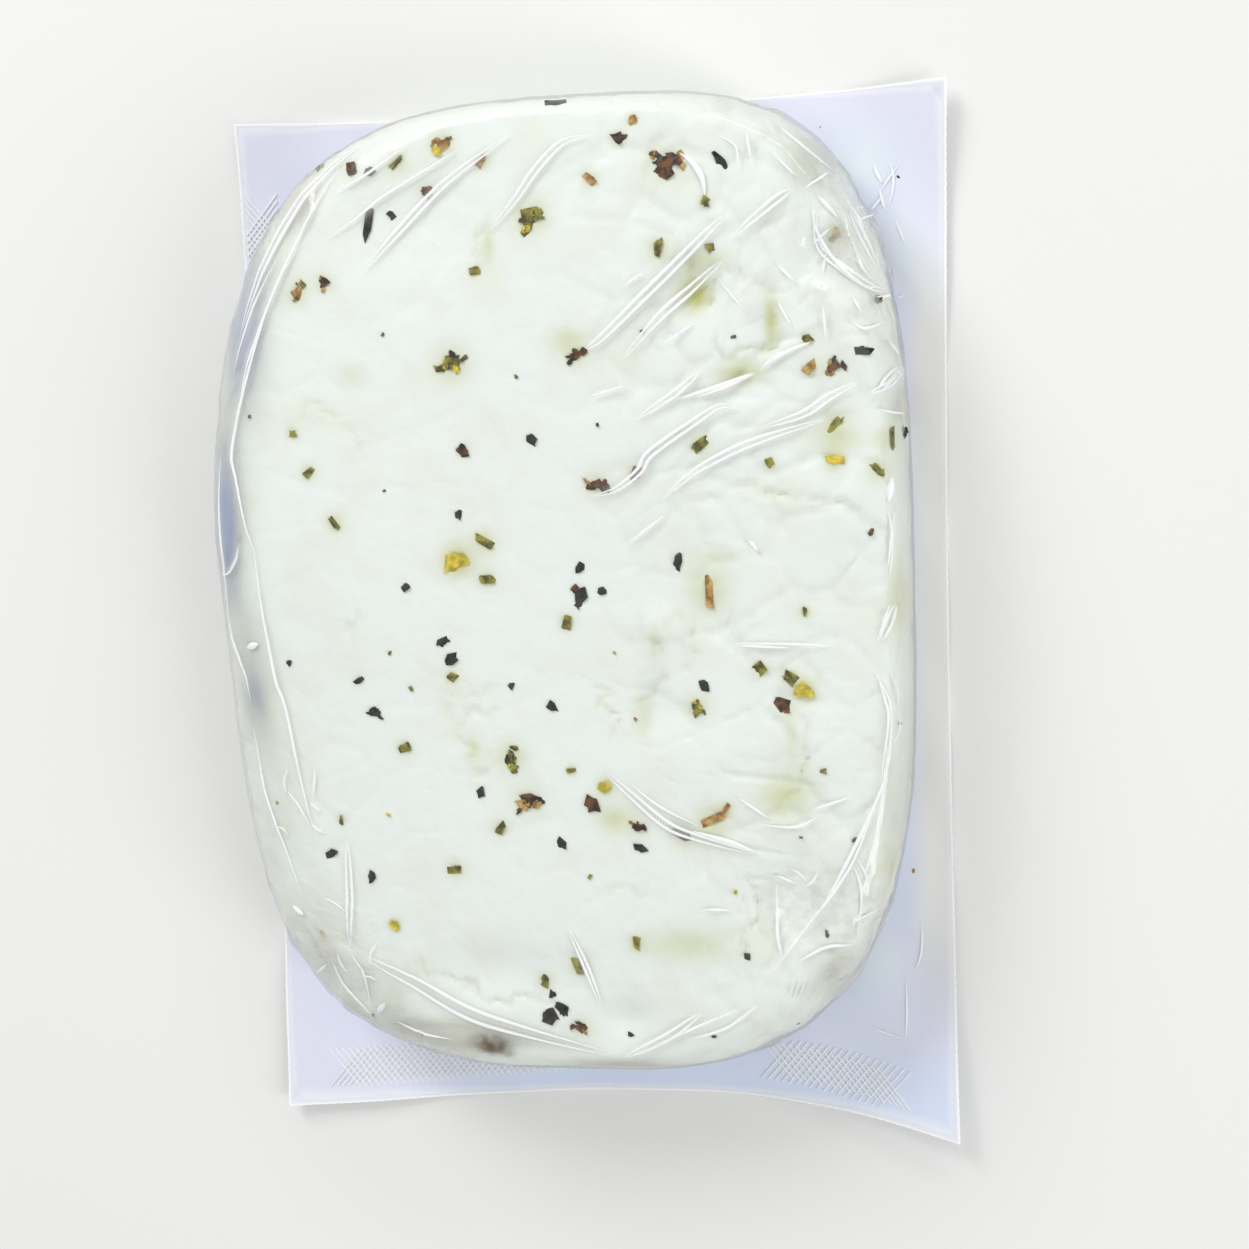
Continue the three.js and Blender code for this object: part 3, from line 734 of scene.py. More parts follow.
# Flakes that stand out: x, y, length, width, turn in degrees
LANDMARKS = {
    Herb.DARK: (
        (-27, -9, 2.2, 1.5, 170), (-15.5, -1.5, 1.8, 1.2, 20), (-4, -52, 1.9, 1.5, 170),
        (-16.5, 1, 1.9, 1, 18), (16.5, 11.5, 2.2, 0.9, 87), (-29, -32.5, 1.6, 1.1, 80),
        (19.5, -5, 1.7, 0.9, 115), (-1, -27, 1.5, 1, 120), (41.5, 38.5, 2.4, 1.1, 168),
        (23.5, 63.5, 2.6, 1.3, 124), (3, 7, 2.9, 1.9, 93), (-1.5, -8, 1.4, 0.9, 138),
        (-2, -51, 2, 1.3, 128), (10, -27.5, 1.9, 0.7, 165), (-35, -29.5, 2.1, 1, 33),
        (-3, 28, 1.5, 1, 99), (-25, 57.5, 4.6, 0.8, 76), (-29.2, -4.5, 1.6, 0.8, 23),
        (3.1, 10.8, 1.4, 1, 42), (-7.2, -5.2, 1.1, 0.9, 22), (-3.5, -48.8, 1.2, 0.8, 113),
        (-13.5, 18.3, 1.2, 0.8, 92), (-21.5, 58.6, 1.1, 0.9, 144), (46, 27.6, 1.4, 1.2, 96),
        (5.9, 7.7, 1.3, 0.9, 159), (-12.2, -20.2, 1.6, 0.9, 98), (-21.6, 8.4, 1.3, 0.8, 45),
        (-24.5, 64.7, 1.4, 0.9, 13), (1.7, 72.1, 2.7, 1, 5), (43.4, 44.9, 1.6, 0.9, 16),
    ),
    Herb.OLIVE: (
        (-2, 57.5, 3.9, 2.7, 21), (-13.5, 38.5, 3.4, 3, 157), (-7.5, -15, 3.7, 1.7, 110),
        (18.5, -8, 2.7, 1.5, 163), (-4.5, -47, 2.1, 1.3, 72), (44.6, 27, 3.2, 1.2, 88),
        (43, 23, 2.9, 1, 136), (20, 27, 2.7, 1.3, 42), (-16.5, -31, 2.6, 1, 7),
        (-23, -14, 2.1, 1, 22), (-31.5, 17.5, 2.6, 0.8, 134), (-10, 9.5, 2.6, 0.9, 0),
        (-9.5, -25, 1.8, 1, 57), (-20.5, 65.5, 2.5, 0.8, 35), (-35, 24.5, 2.2, 0.8, 41),
        (9, -41, 2.1, 0.8, 83), (1, 3.5, 2.3, 0.9, 79), (-15.5, -4, 1.8, 1, 138),
        (0.5, -44.5, 2.8, 1, 114), (31, -4, 1.8, 1.4, 137), (15, 52.5, 2.9, 1.2, 80),
        (27, -3, 2.1, 1.4, 43), (-10, 14.5, 3.4, 1, 143), (37.5, 29, 3.6, 1.1, 44),
        (34.3, 40.1, 1.4, 0.9, 13), (29.1, 24.2, 1.4, 1, 20), (-37.3, 29.9, 1.4, 0.9, 5),
        (33.2, 4.6, 1.7, 0.6, 96), (21.4, 58.1, 1.4, 1.1, 58), (-33.8, 65.8, 1.9, 1.1, 24),
        (-9.9, 50.7, 1.2, 1, 14), (-33.2, -24.5, 1.5, 0.7, 95), (0.8, -16.8, 1.5, 0.6, 9),
    ),
    Herb.BROWN: (
        (16, 63.5, 4.7, 3, 179), (-5.5, -21, 4.1, 2.5, 26), (37.5, 36.5, 2.4, 2.1, 44),
        (10, -24.5, 2.3, 1.9, 117), (16, -25.5, 3.4, 1.2, 149), (0.5, -53.5, 2.4, 1.5, 152),
        (-31.5, 50, 2.2, 1.7, 96), (3.5, -21.5, 2.2, 1.3, 131), (3.5, 39, 2.3, 1.4, 11),
        (30, -8, 2, 1.4, 135), (-16.5, 61.5, 1.8, 1.4, 23), (10, 67, 1.9, 1.2, 174),
        (-12.5, 27, 1.7, 1.2, 132), (-27, 65, 1.6, 1.2, 93), (5.6, 22, 3.6, 1.5, 11),
        (11, 23.5, 2, 1, 55),
    ),
    Herb.STRAW: (
        (-14, 67.5, 2.9, 2, 178), (-35.5, 49, 2.8, 1.6, 72), (38, 53.5, 2, 1.7, 43),
        (34.5, 36.5, 1.9, 1.2, 40), (-8.5, 65, 1.9, 0.9, 48), (20.5, 7.5, 5.6, 0.9, 93),
        (20, -23.5, 4.2, 0.9, 22), (6, 62, 2.2, 0.9, 136), (12, 69.2, 1.6, 0.8, 95),
        (22, -21.9, 2, 0.5, 54),
    ),
    Herb.GOLDEN: (
        (-14, 12, 3.4, 2.4, 41), (33, -5.8, 2.6, 1.4, 166), (5.6, -19, 1.8, 1.1, 26),
        (37.5, 24.5, 2.3, 1.1, 159), (-26, -39.5, 1.5, 0.9, 119),
    ),
}

# The tones that the torn bits of each kind of flake have
TORN_TONES = {
    Herb.DARK: (Herb.DARK, Herb.BROWN),
    Herb.OLIVE: (Herb.GOLDEN, Herb.DARK),
    Herb.BROWN: (Herb.DARK, Herb.STRAW),
    Herb.STRAW: (Herb.OLIVE, Herb.GOLDEN),
    Herb.GOLDEN: (Herb.OLIVE, Herb.STRAW),
}

# Soft stains of whey and herb in the curd: x, y, half widths, strength
STAINS = (
    Swell(19.6, 46.6, 2.8, 3.2, 1.1),
    Swell(20.5, 51.0, 4.5, 1.6, 0.5),
    Swell(29.5, 42.5, 1.1, 4.2, 0.8),
    Swell(25.5, 36.0, 4.0, 2.0, 0.7),
    Swell(6.5, -23.5, 3.2, 2.8, 0.5),
    Swell(16.0, -41.0, 9.0, 3.6, 0.4),
    Swell(30.0, -20.0, 4.5, 4.0, 0.5),
    Swell(31.0, -12.0, 1.2, 5.0, 0.3),
    Swell(11.0, -9.5, 1.6, 4.5, 0.35),
    Swell(13.0, 0.5, 1.0, 3.0, 0.35),
    Swell(22.0, 12.0, 5.0, 1.6, 0.25),
    Swell(2.5, 41.0, 3.5, 2.5, 0.4),
    Swell(-28.0, 37.5, 3.2, 2.4, 0.25),
    Swell(38.0, 27.0, 5.0, 2.0, 0.3),
    Swell(-8.0, 54.0, 1.2, 3.5, 0.45),
    Swell(-13.0, -14.0, 1.6, 2.6, 0.3),
    Swell(45.0, 6.0, 1.6, 7.0, 0.4),
    Swell(43.5, -31.0, 1.4, 4.0, 0.5),
    Swell(16.0, 14.0, 9.0, 9.0, 0.08),
)

# Where clear film bridges the corners between pouch and web and gives it a green cast
GUSSETS = (
    Swell(40.0, 64.0, 4.5, 5.0, 0.8),
    Swell(45.0, 53.0, 2.5, 7.0, 0.7),
    Swell(41.0, -49.0, 4.5, 5.0, 0.7),
    Swell(46.0, -40.0, 2.0, 6.0, 0.4),
)

# Finishes


@dataclass(frozen=True)
class CurdFinish:
    """Pressed curd cheese: matt white with a green cast, cloudy, with close low lumps."""

    white: str = "#EDF3EB"
    cream: str = "#E9ECD9"
    stain: str = "#BEC062"
    curd_mm: float = 9.0
    grain_mm: float = 0.9
    lump_mm: float = 5.4
    cream_most: float = 0.55
    relief_mm: float = 0.15

    def make(self) -> bpy.types.Material:
        """Build the material.

        Returns:
            The material.
        """
        material, tree = new_material("pressed curd cheese")
        spot = add_node(tree, "ShaderNodeTexCoord").outputs["Object"]
        cloud = add_node(
            tree, "ShaderNodeTexNoise",
            links={"Vector": spot, "Scale": 1 / (self.curd_mm * MM), "Detail": 3.0},
        )
        share = add_node(
            tree, "ShaderNodeMapRange",
            links={0: cloud.outputs["Fac"], 1: 0.48, 2: 0.72, 3: 0.0, 4: self.cream_most},
        )
        body = add_node(
            tree, "ShaderNodeMix", {"data_type": "RGBA"},
            {0: share.outputs[0], 6: linear(self.white), 7: linear(self.cream)},
        )
        stained = add_node(tree, "ShaderNodeAttribute", {"attribute_name": "stain"})
        colour = add_node(
            tree, "ShaderNodeMix", {"data_type": "RGBA"},
            {0: stained.outputs["Fac"], 6: body.outputs[2], 7: linear(self.stain)},
        )
        grain = add_node(
            tree, "ShaderNodeTexNoise",
            links={"Vector": spot, "Scale": 1 / (self.grain_mm * MM), "Detail": 2.0},
        )
        curd = add_node(
            tree, "ShaderNodeTexVoronoi", {"feature": "F1"},
            {"Vector": spot, "Scale": 1 / (self.lump_mm * MM)},
        )
        relief = add_node(
            tree, "ShaderNodeMath", {"operation": "MULTIPLY_ADD"},
            {0: curd.outputs["Distance"], 1: 1.6, 2: grain.outputs["Fac"]},
        )
        bump = add_node(
            tree, "ShaderNodeBump",
            links={"Strength": 0.35, "Distance": self.relief_mm * MM, "Height": relief.outputs[0]},
        )
        shader = add_node(
            tree, "ShaderNodeBsdfPrincipled",
            links={
                "Base Color": colour.outputs[2], "Roughness": 0.45, "IOR": 1.4,
                "Normal": bump.outputs[0],
            },
        )
        add_node(tree, "ShaderNodeOutputMaterial", links={"Surface": shader.outputs[0]})
        return material


@dataclass(frozen=True)
class HerbFinish:
    """Dried herb: dull and mottled from dark to light, as torn leaf shows its upper and lower side."""

    dark: str
    light: str
    patch_mm: float = 1.2

    def make(self, name: str) -> bpy.types.Material:
        """Build the material under a name.

        Args:
            name: the material's name.

        Returns:
            The material.
        """
        material, tree = new_material(name)
        spot = add_node(tree, "ShaderNodeTexCoord").outputs["Object"]
        mottle = add_node(
            tree, "ShaderNodeTexNoise",
            links={"Vector": spot, "Scale": 1 / (self.patch_mm * MM), "Detail": 2.0},
        )
        share = add_node(tree, "ShaderNodeMapRange", links={0: mottle.outputs["Fac"], 1: 0.38, 2: 0.64})
        colour = add_node(
            tree, "ShaderNodeMix", {"data_type": "RGBA"},
            {0: share.outputs[0], 6: linear(self.dark), 7: linear(self.light)},
        )
        bump = add_node(
            tree, "ShaderNodeBump",
            links={"Strength": 0.5, "Distance": 0.1 * MM, "Height": mottle.outputs["Fac"]},
        )
        shader = add_node(
            tree, "ShaderNodeBsdfPrincipled",
            links={"Base Color": colour.outputs[2], "Roughness": 0.55, "Normal": bump.outputs[0]},
        )
        add_node(tree, "ShaderNodeOutputMaterial", links={"Surface": shader.outputs[0]})
        return material


@dataclass(frozen=True)
class WheyFinish:
    """Whey: a thin cloudy liquid, so it veils what lies behind it the more the deeper it is; a
    grey-lavender tint in it is painted shade on the left wall.
    """

    cloud: str = "#D8D8CB"
    # grey-lavender painted shade of the left wall, mixed into the whey's colour
    cool: str = "#A9B2C8"
    dregs: str = "#6A5A44"

    def make(self) -> bpy.types.Material:
        """Build the material.

        Returns:
            The material.
        """
        material, tree = new_material("cloudy whey")
        depth = add_node(tree, "ShaderNodeAttribute", {"attribute_name": "depth"})
        # painted shade: where the whey turns grey-lavender on the left wall
        cool = add_node(tree, "ShaderNodeAttribute", {"attribute_name": "cool"})
        colour = add_node(
            tree, "ShaderNodeMix", {"data_type": "RGBA"},
            {0: cool.outputs["Fac"], 6: linear(self.cloud), 7: linear(self.cool)},
        )
        dregs = add_node(tree, "ShaderNodeAttribute", {"attribute_name": "dregs"})
        colour = add_node(
            tree, "ShaderNodeMix", {"data_type": "RGBA"},
            {0: dregs.outputs["Fac"], 6: colour.outputs[2], 7: linear(self.dregs)},
        )
        clear = add_node(tree, "ShaderNodeBsdfTransparent")
        milk = add_node(tree, "ShaderNodeBsdfDiffuse", links={"Color": colour.outputs[2]})
        mix = add_node(
            tree, "ShaderNodeMixShader",
            links={0: depth.outputs["Fac"], 1: clear.outputs[0], 2: milk.outputs[0]},
        )
        add_node(tree, "ShaderNodeOutputMaterial", links={"Surface": mix.outputs[0]})
        return material


@dataclass(frozen=True)
class FilmFinish:
    """Clear polyamide shrink film: glass-like gloss, with a white bloom along its creases, partly stress
    whitening and partly painted highlight.
    """

    whitening_and_highlight: str = "#FFFFFF"
    roughness: float = 0.08
    least_gloss: float = 0.04
    edge_gloss: float = 0.85
    most_whitening_and_highlight: float = 0.3

    def make(self, name: str, least_whitening_and_highlight: float = 0.0) -> bpy.types.Material:
        """Build the material under a name.

        Args:
            name: the material's name.
            least_whitening_and_highlight: how white the film is away from its creases, 0 to 1, partly
                painted highlight.

        Returns:
            The material.
        """
        material, tree = new_material(name)
        facing = add_node(tree, "ShaderNodeLayerWeight", links={"Blend": 0.5})
        steep = add_node(
            tree, "ShaderNodeMath", {"operation": "POWER"}, {0: facing.outputs["Facing"], 1: 4.0}
        )
        gloss = add_node(
            tree, "ShaderNodeMapRange",
            links={0: steep.outputs[0], 3: self.least_gloss, 4: self.edge_gloss},
        )
        clear = add_node(tree, "ShaderNodeBsdfTransparent", links={"Color": linear("#FEFEFF")})
        shine = add_node(tree, "ShaderNodeBsdfGlossy", links={"Roughness": self.roughness})
        film = add_node(
            tree, "ShaderNodeMixShader",
            links={0: gloss.outputs[0], 1: clear.outputs[0], 2: shine.outputs[0]},
        )
        # white along creases: partly stress whitening, partly painted highlight
        crease = add_node(tree, "ShaderNodeAttribute", {"attribute_name": "crease"})
        amount = add_node(
            tree, "ShaderNodeMapRange", links={0: crease.outputs["Fac"], 3: least_whitening_and_highlight, 4: self.most_whitening_and_highlight}
        )
        white = add_node(tree, "ShaderNodeBsdfDiffuse", links={"Color": linear(self.whitening_and_highlight)})
        mix = add_node(
            tree, "ShaderNodeMixShader",
            links={0: amount.outputs[0], 1: film.outputs[0], 2: white.outputs[0]},
        )
        add_node(tree, "ShaderNodeOutputMaterial", links={"Surface": mix.outputs[0]})
        return material


@dataclass(frozen=True)
class WebFinish:
    """Barrier lidding film, polyester on polyethylene: pale lavender and satin, bluer along the bottom
    middle, bluer and darker towards the pouch as thicker film and painted shade, a lighter grey on the
    right as painted light, and a painted white highlight on its cut edge.
    """

    lavender: str = "#E9EAF8"
    # bluer, darker tone near the pouch: partly thicker film, partly painted shade
    pouch_blue_and_shade: str = "#DCE6F7"
    low_blue: str = "#E1ECFF"
    # lighter neutral grey painted on the right flange to lift the pouch's shade there
    painted_light_grey: str = "#F1F0EC"
    green: str = "#E9F3F2"
    # white highlight painted along the cut edge
    rim: str = "#FFFFFF"
    haze_mm: float = 14.0
    pebble_mm: float = 1.5

    def make(self) -> bpy.types.Material:
        """Build the material.

        Returns:
            The material.
        """
        material, tree = new_material("lavender barrier film")
        spot = add_node(tree, "ShaderNodeTexCoord").outputs["Object"]
        haze = add_node(
            tree, "ShaderNodeTexNoise",
            links={"Vector": spot, "Scale": 1 / (self.haze_mm * MM), "Detail": 2.0},
        )
        # near the pouch the sheet is mixed towards the bluer, darker tone, partly painted shade
        near = add_node(tree, "ShaderNodeAttribute", {"attribute_name": "near"})
        edge = add_node(tree, "ShaderNodeAttribute", {"attribute_name": "rim"})
        share = add_node(
            tree, "ShaderNodeMath", {"operation": "MULTIPLY"},
            {0: haze.outputs["Fac"], 1: near.outputs["Fac"]},
        )
        sheet = add_node(
            tree, "ShaderNodeMix", {"data_type": "RGBA"},
            {0: share.outputs[0], 6: linear(self.lavender), 7: linear(self.pouch_blue_and_shade)},
        )
        # the right tint is painted light over the pouch's shade on the right flange
        for name, tone in (("right", self.painted_light_grey), ("low", self.low_blue), ("gusset", self.green)):
            part = add_node(tree, "ShaderNodeAttribute", {"attribute_name": name})
            sheet = add_node(
                tree, "ShaderNodeMix", {"data_type": "RGBA"},
                {0: part.outputs["Fac"], 6: sheet.outputs[2], 7: linear(tone)},
            )
        # painted highlight: white on the outermost ring of the cut edge
        colour = add_node(
            tree, "ShaderNodeMix", {"data_type": "RGBA"},
            {0: edge.outputs["Fac"], 6: sheet.outputs[2], 7: linear(self.rim)},
        )
        fine = add_node(
            tree, "ShaderNodeTexNoise",
            links={"Vector": spot, "Scale": 1 / (self.pebble_mm * MM), "Detail": 2.0},
        )
        bump = add_node(
            tree, "ShaderNodeBump",
            links={"Strength": 0.15, "Distance": 0.1 * MM, "Height": fine.outputs["Fac"]},
        )
        shader = add_node(
            tree, "ShaderNodeBsdfPrincipled",
            links={"Base Color": colour.outputs[2], "Roughness": 0.38, "Normal": bump.outputs[0]},
        )
        add_node(tree, "ShaderNodeOutputMaterial", links={"Surface": shader.outputs[0]})
        return material


HERB_FINISHES = {
    Herb.DARK: HerbFinish("#0E0F09", "#34361E"),
    Herb.OLIVE: HerbFinish("#4A4414", "#9A9432"),
    Herb.BROWN: HerbFinish("#1E0E05", "#74481C"),
    Herb.STRAW: HerbFinish("#8A6226", "#CCAA62"),
    Herb.GOLDEN: HerbFinish("#B0A22C", "#EBD244"),
}


# Geometry Nodes trees


@dataclass
class NodeShape:
    """A Geometry Nodes tree with named inputs, which is run once on a base mesh."""

    name: str
    sockets: dict[str, str] = field(default_factory=dict)
    tree: bpy.types.NodeTree = None

    def start(self, inputs: dict[str, str]) -> bpy.types.Node:
        """Make the tree and its interface.

        Args:
            inputs: input names, each with its socket type.

        Returns:
            The group's input node.
        """
        self.tree = bpy.data.node_groups.new(self.name, "GeometryNodeTree")
        self.tree.is_modifier = True
        self.tree.interface.new_socket("Geometry", in_out="INPUT", socket_type="NodeSocketGeometry")
        for name, kind in inputs.items():
            made = self.tree.interface.new_socket(name, in_out="INPUT", socket_type=kind)
            self.sockets[name] = made.identifier
        self.tree.interface.new_socket("Geometry", in_out="OUTPUT", socket_type="NodeSocketGeometry")
        return add_node(self.tree, "NodeGroupInput")

    def end(self, geometry: bpy.types.NodeSocket, material: bpy.types.NodeSocket) -> None:
        """Realize the instances, set the material and put out the result.

        Args:
            geometry: the socket that gives the shape.
            material: the socket that gives its finish.
        """
        real = add_node(self.tree, "GeometryNodeRealizeInstances", links={0: geometry})
        dressed = add_node(
            self.tree, "GeometryNodeSetMaterial",
            links={"Geometry": real.outputs[0], "Material": material},
        )
        add_node(self.tree, "NodeGroupOutput", links={0: dressed.outputs[0]})

    def run(self, base: bpy.types.Object, values: dict[str, object]) -> bpy.types.Object:
        """Run the tree on a base object and keep the result as its plain mesh.

        Args:
            base: the object that carries the points or edges.
            values: input names and their values.

        Returns:
            The same object, with the result as its mesh and no modifier.
        """
        modifier = base.modifiers.new(self.name, "NODES")
        modifier.node_group = self.tree
        for name, value in values.items():
            modifier[self.sockets[name]] = value
        made = bpy.data.meshes.new_from_object(base.evaluated_get(bpy.context.evaluated_depsgraph_get()))
        base.modifiers.remove(modifier)
        base.data = made
        made.name = base.name
        return base


def flake_shape() -> NodeShape:
    """Build the tree that puts a ragged, curled chip on every point, by its size, turn and normal.

    Returns:
        The tree.
    """
    shape = NodeShape("ragged flakes")
    given = shape.start(
        {
            "Corners": "NodeSocketInt", "Raggedness": "NodeSocketFloat", "Curl": "NodeSocketFloat",
            "Seed": "NodeSocketInt", "Material": "NodeSocketMaterial",
        }
    )
    tree = shape.tree
    size = add_node(
        tree, "GeometryNodeInputNamedAttribute", {"data_type": "FLOAT_VECTOR"}, {"Name": "size"}
    )
    way_out = add_node(
        tree, "GeometryNodeInputNamedAttribute", {"data_type": "FLOAT_VECTOR"}, {"Name": "way_out"}
    )
    turn = add_node(
        tree, "GeometryNodeInputNamedAttribute", {"data_type": "FLOAT"}, {"Name": "turn"}
    )
    chip = add_node(
        tree, "GeometryNodeMeshCylinder", {"fill_type": "TRIANGLE_FAN"},
        {
            "Vertices": given.outputs["Corners"], "Side Segments": 1, "Fill Segments": 3,
            "Radius": 0.6, "Depth": 1.0,
        },
    )
    squared = add_node(
        tree, "GeometryNodeTransform",
        links={"Geometry": chip.outputs["Mesh"], "Rotation": (0.0, 0.0, math.pi / 4)},
    )
    upright = add_node(
        tree, "FunctionNodeAlignRotationToVector", {"axis": "Z"}, {"Vector": way_out.outputs[0]}
    )
    spin = add_node(
        tree, "FunctionNodeAxisAngleToRotation", links={"Axis": (0.0, 0.0, 1.0), "Angle": turn.outputs[0]}
    )
    placed = add_node(
        tree, "FunctionNodeRotateRotation", {"rotation_space": "LOCAL"},
        {0: upright.outputs[0], 1: spin.outputs[0]},
    )
    chips = add_node(
        tree, "GeometryNodeInstanceOnPoints",
        links={
            "Points": given.outputs["Geometry"], "Instance": squared.outputs[0],
            "Rotation": placed.outputs[0], "Scale": size.outputs[0],
        },
    )
    real = add_node(tree, "GeometryNodeRealizeInstances", links={0: chips.outputs[0]})
    jitter = add_node(
        tree, "FunctionNodeRandomValue", {"data_type": "FLOAT_VECTOR"},
        {0: (-1.0, -1.0, -1.0), 1: (1.0, 1.0, 1.0), "Seed": given.outputs["Seed"]},
    )
    parts = add_node(tree, "ShaderNodeSeparateXYZ", links={0: size.outputs[0]})
    tear = add_node(
        tree, "ShaderNodeMath", {"operation": "MULTIPLY"},
        {0: parts.outputs[1], 1: given.outputs["Raggedness"]},
    )
    amount = add_node(
        tree, "ShaderNodeCombineXYZ",
        links={"X": tear.outputs[0], "Y": tear.outputs[0], "Z": given.outputs["Curl"]},
    )
    moved = add_node(
        tree, "ShaderNodeVectorMath", {"operation": "MULTIPLY"},
        {0: jitter.outputs[0], 1: amount.outputs[0]},
    )
    ragged = add_node(
        tree, "GeometryNodeSetPosition",
        links={"Geometry": real.outputs[0], "Offset": moved.outputs[0]},
    )
    shape.end(ragged.outputs[0], given.outputs["Material"])
    return shape


def pinch_shape() -> NodeShape:
    """Build the tree that sweeps a low oval bead along every chain of edges, thinned by an attribute.

    Returns:
        The tree.
    """
    shape = NodeShape("pinched folds")
    given = shape.start(
        {
            "Half width": "NodeSocketFloat", "Half height": "NodeSocketFloat",
            "Material": "NodeSocketMaterial",
        }
    )
    tree = shape.tree
    thin = add_node(
        tree, "GeometryNodeInputNamedAttribute", {"data_type": "FLOAT"}, {"Name": "thin"}
    )
    line = add_node(tree, "GeometryNodeMeshToCurve", links={"Mesh": given.outputs["Geometry"]})
    sized = add_node(
        tree, "GeometryNodeSetCurveRadius", links={"Curve": line.outputs[0], "Radius": thin.outputs[0]}
    )
    level = add_node(tree, "GeometryNodeSetCurveNormal", {"mode": "Z_UP"}, {"Curve": sized.outputs[0]})
    ring = add_node(
        tree, "GeometryNodeCurvePrimitiveCircle", {"mode": "RADIUS"}, {"Resolution": 8, "Radius": 1.0}
    )
    reach = add_node(
        tree, "ShaderNodeCombineXYZ",
        links={"X": given.outputs["Half width"], "Y": given.outputs["Half height"], "Z": 1.0},
    )
    oval = add_node(
        tree, "GeometryNodeTransform", links={"Geometry": ring.outputs[0], "Scale": reach.outputs[0]}
    )
    bead = add_node(
        tree, "GeometryNodeCurveToMesh",
        links={
            "Curve": level.outputs[0], "Profile Curve": oval.outputs[0],
            "Scale": thin.outputs[0], "Fill Caps": True,
        },
    )
    smooth = add_node(tree, "GeometryNodeSetShadeSmooth", links={"Geometry": bead.outputs[0]})
    shape.end(smooth.outputs[0], given.outputs["Material"])
    return shape


def knurl_shape() -> NodeShape:
    """Build the tree that lays slanting ribs across a seal, a pitch apart, down on the surface below.

    Returns:
        The tree.
    """
    shape = NodeShape("seal knurl")
    given = shape.start(
        {
            "Pitch": "NodeSocketFloat", "Length": "NodeSocketFloat", "Width": "NodeSocketFloat",
            "Rise": "NodeSocketFloat", "Slant": "NodeSocketFloat", "Lift": "NodeSocketFloat",
            "Sheet": "NodeSocketObject", "Material": "NodeSocketMaterial",
        }
    )
    tree = shape.tree
    line = add_node(tree, "GeometryNodeMeshToCurve", links={"Mesh": given.outputs["Geometry"]})
    steps = add_node(
        tree, "GeometryNodeCurveToPoints", {"mode": "LENGTH"},
        {"Curve": line.outputs[0], "Length": given.outputs["Pitch"]},
    )
    rib = add_node(
        tree, "GeometryNodeMeshCube",
        links={"Size": (1.0, 1.0, 1.0), "Vertices X": 7, "Vertices Y": 3, "Vertices Z": 2},
    )
    size = add_node(
        tree, "ShaderNodeCombineXYZ",
        links={"X": given.outputs["Length"], "Y": given.outputs["Width"], "Z": given.outputs["Rise"]},
    )
    slant = add_node(
        tree, "FunctionNodeAxisAngleToRotation",
        links={"Axis": (0.0, 0.0, 1.0), "Angle": given.outputs["Slant"]},
    )
    ribs = add_node(
        tree, "GeometryNodeInstanceOnPoints",
        links={
            "Points": steps.outputs["Points"], "Instance": rib.outputs["Mesh"],
            "Rotation": slant.outputs[0], "Scale": size.outputs[0],
        },
    )
    real = add_node(tree, "GeometryNodeRealizeInstances", links={0: ribs.outputs[0]})
    spot = add_node(tree, "GeometryNodeInputPosition")
    apart = add_node(tree, "ShaderNodeSeparateXYZ", links={0: spot.outputs[0]})
    above = add_node(
        tree, "ShaderNodeCombineXYZ",
        links={"X": apart.outputs[0], "Y": apart.outputs[1], "Z": 0.05},
    )
    sheet = add_node(
        tree, "GeometryNodeObjectInfo", {"transform_space": "RELATIVE"}, {"Object": given.outputs["Sheet"]}
    )
    drop = add_node(
        tree, "GeometryNodeRaycast",
        links={
            "Target Geometry": sheet.outputs["Geometry"], "Source Position": above.outputs[0],
            "Ray Direction": (0.0, 0.0, -1.0), "Ray Length": 0.1,
        },
    )
    raised = add_node(
        tree, "ShaderNodeCombineXYZ", links={"X": 0.0, "Y": 0.0, "Z": given.outputs["Lift"]}
    )
    lowered = add_node(
        tree, "ShaderNodeVectorMath", {"operation": "MULTIPLY_ADD"},
        {0: drop.outputs["Hit Position"], 1: (0.0, 0.0, 1.0), 2: raised.outputs[0]},
    )
    laid = add_node(
        tree, "GeometryNodeSetPosition",
        links={"Selection": drop.outputs["Is Hit"], "Offset": lowered.outputs[0]},
    )
    over_edge = add_node(
        tree, "FunctionNodeBooleanMath", {"operation": "NOT"}, {0: drop.outputs["Is Hit"]}
    )
    kept = add_node(
        tree, "GeometryNodeDeleteGeometry", {"domain": "POINT"},
        {"Geometry": real.outputs[0], "Selection": over_edge.outputs[0]},
    )
    tree.links.new(kept.outputs[0], laid.inputs["Geometry"])
    shape.end(laid.outputs[0], given.outputs["Material"])
    return shape


# The pieces of the pack


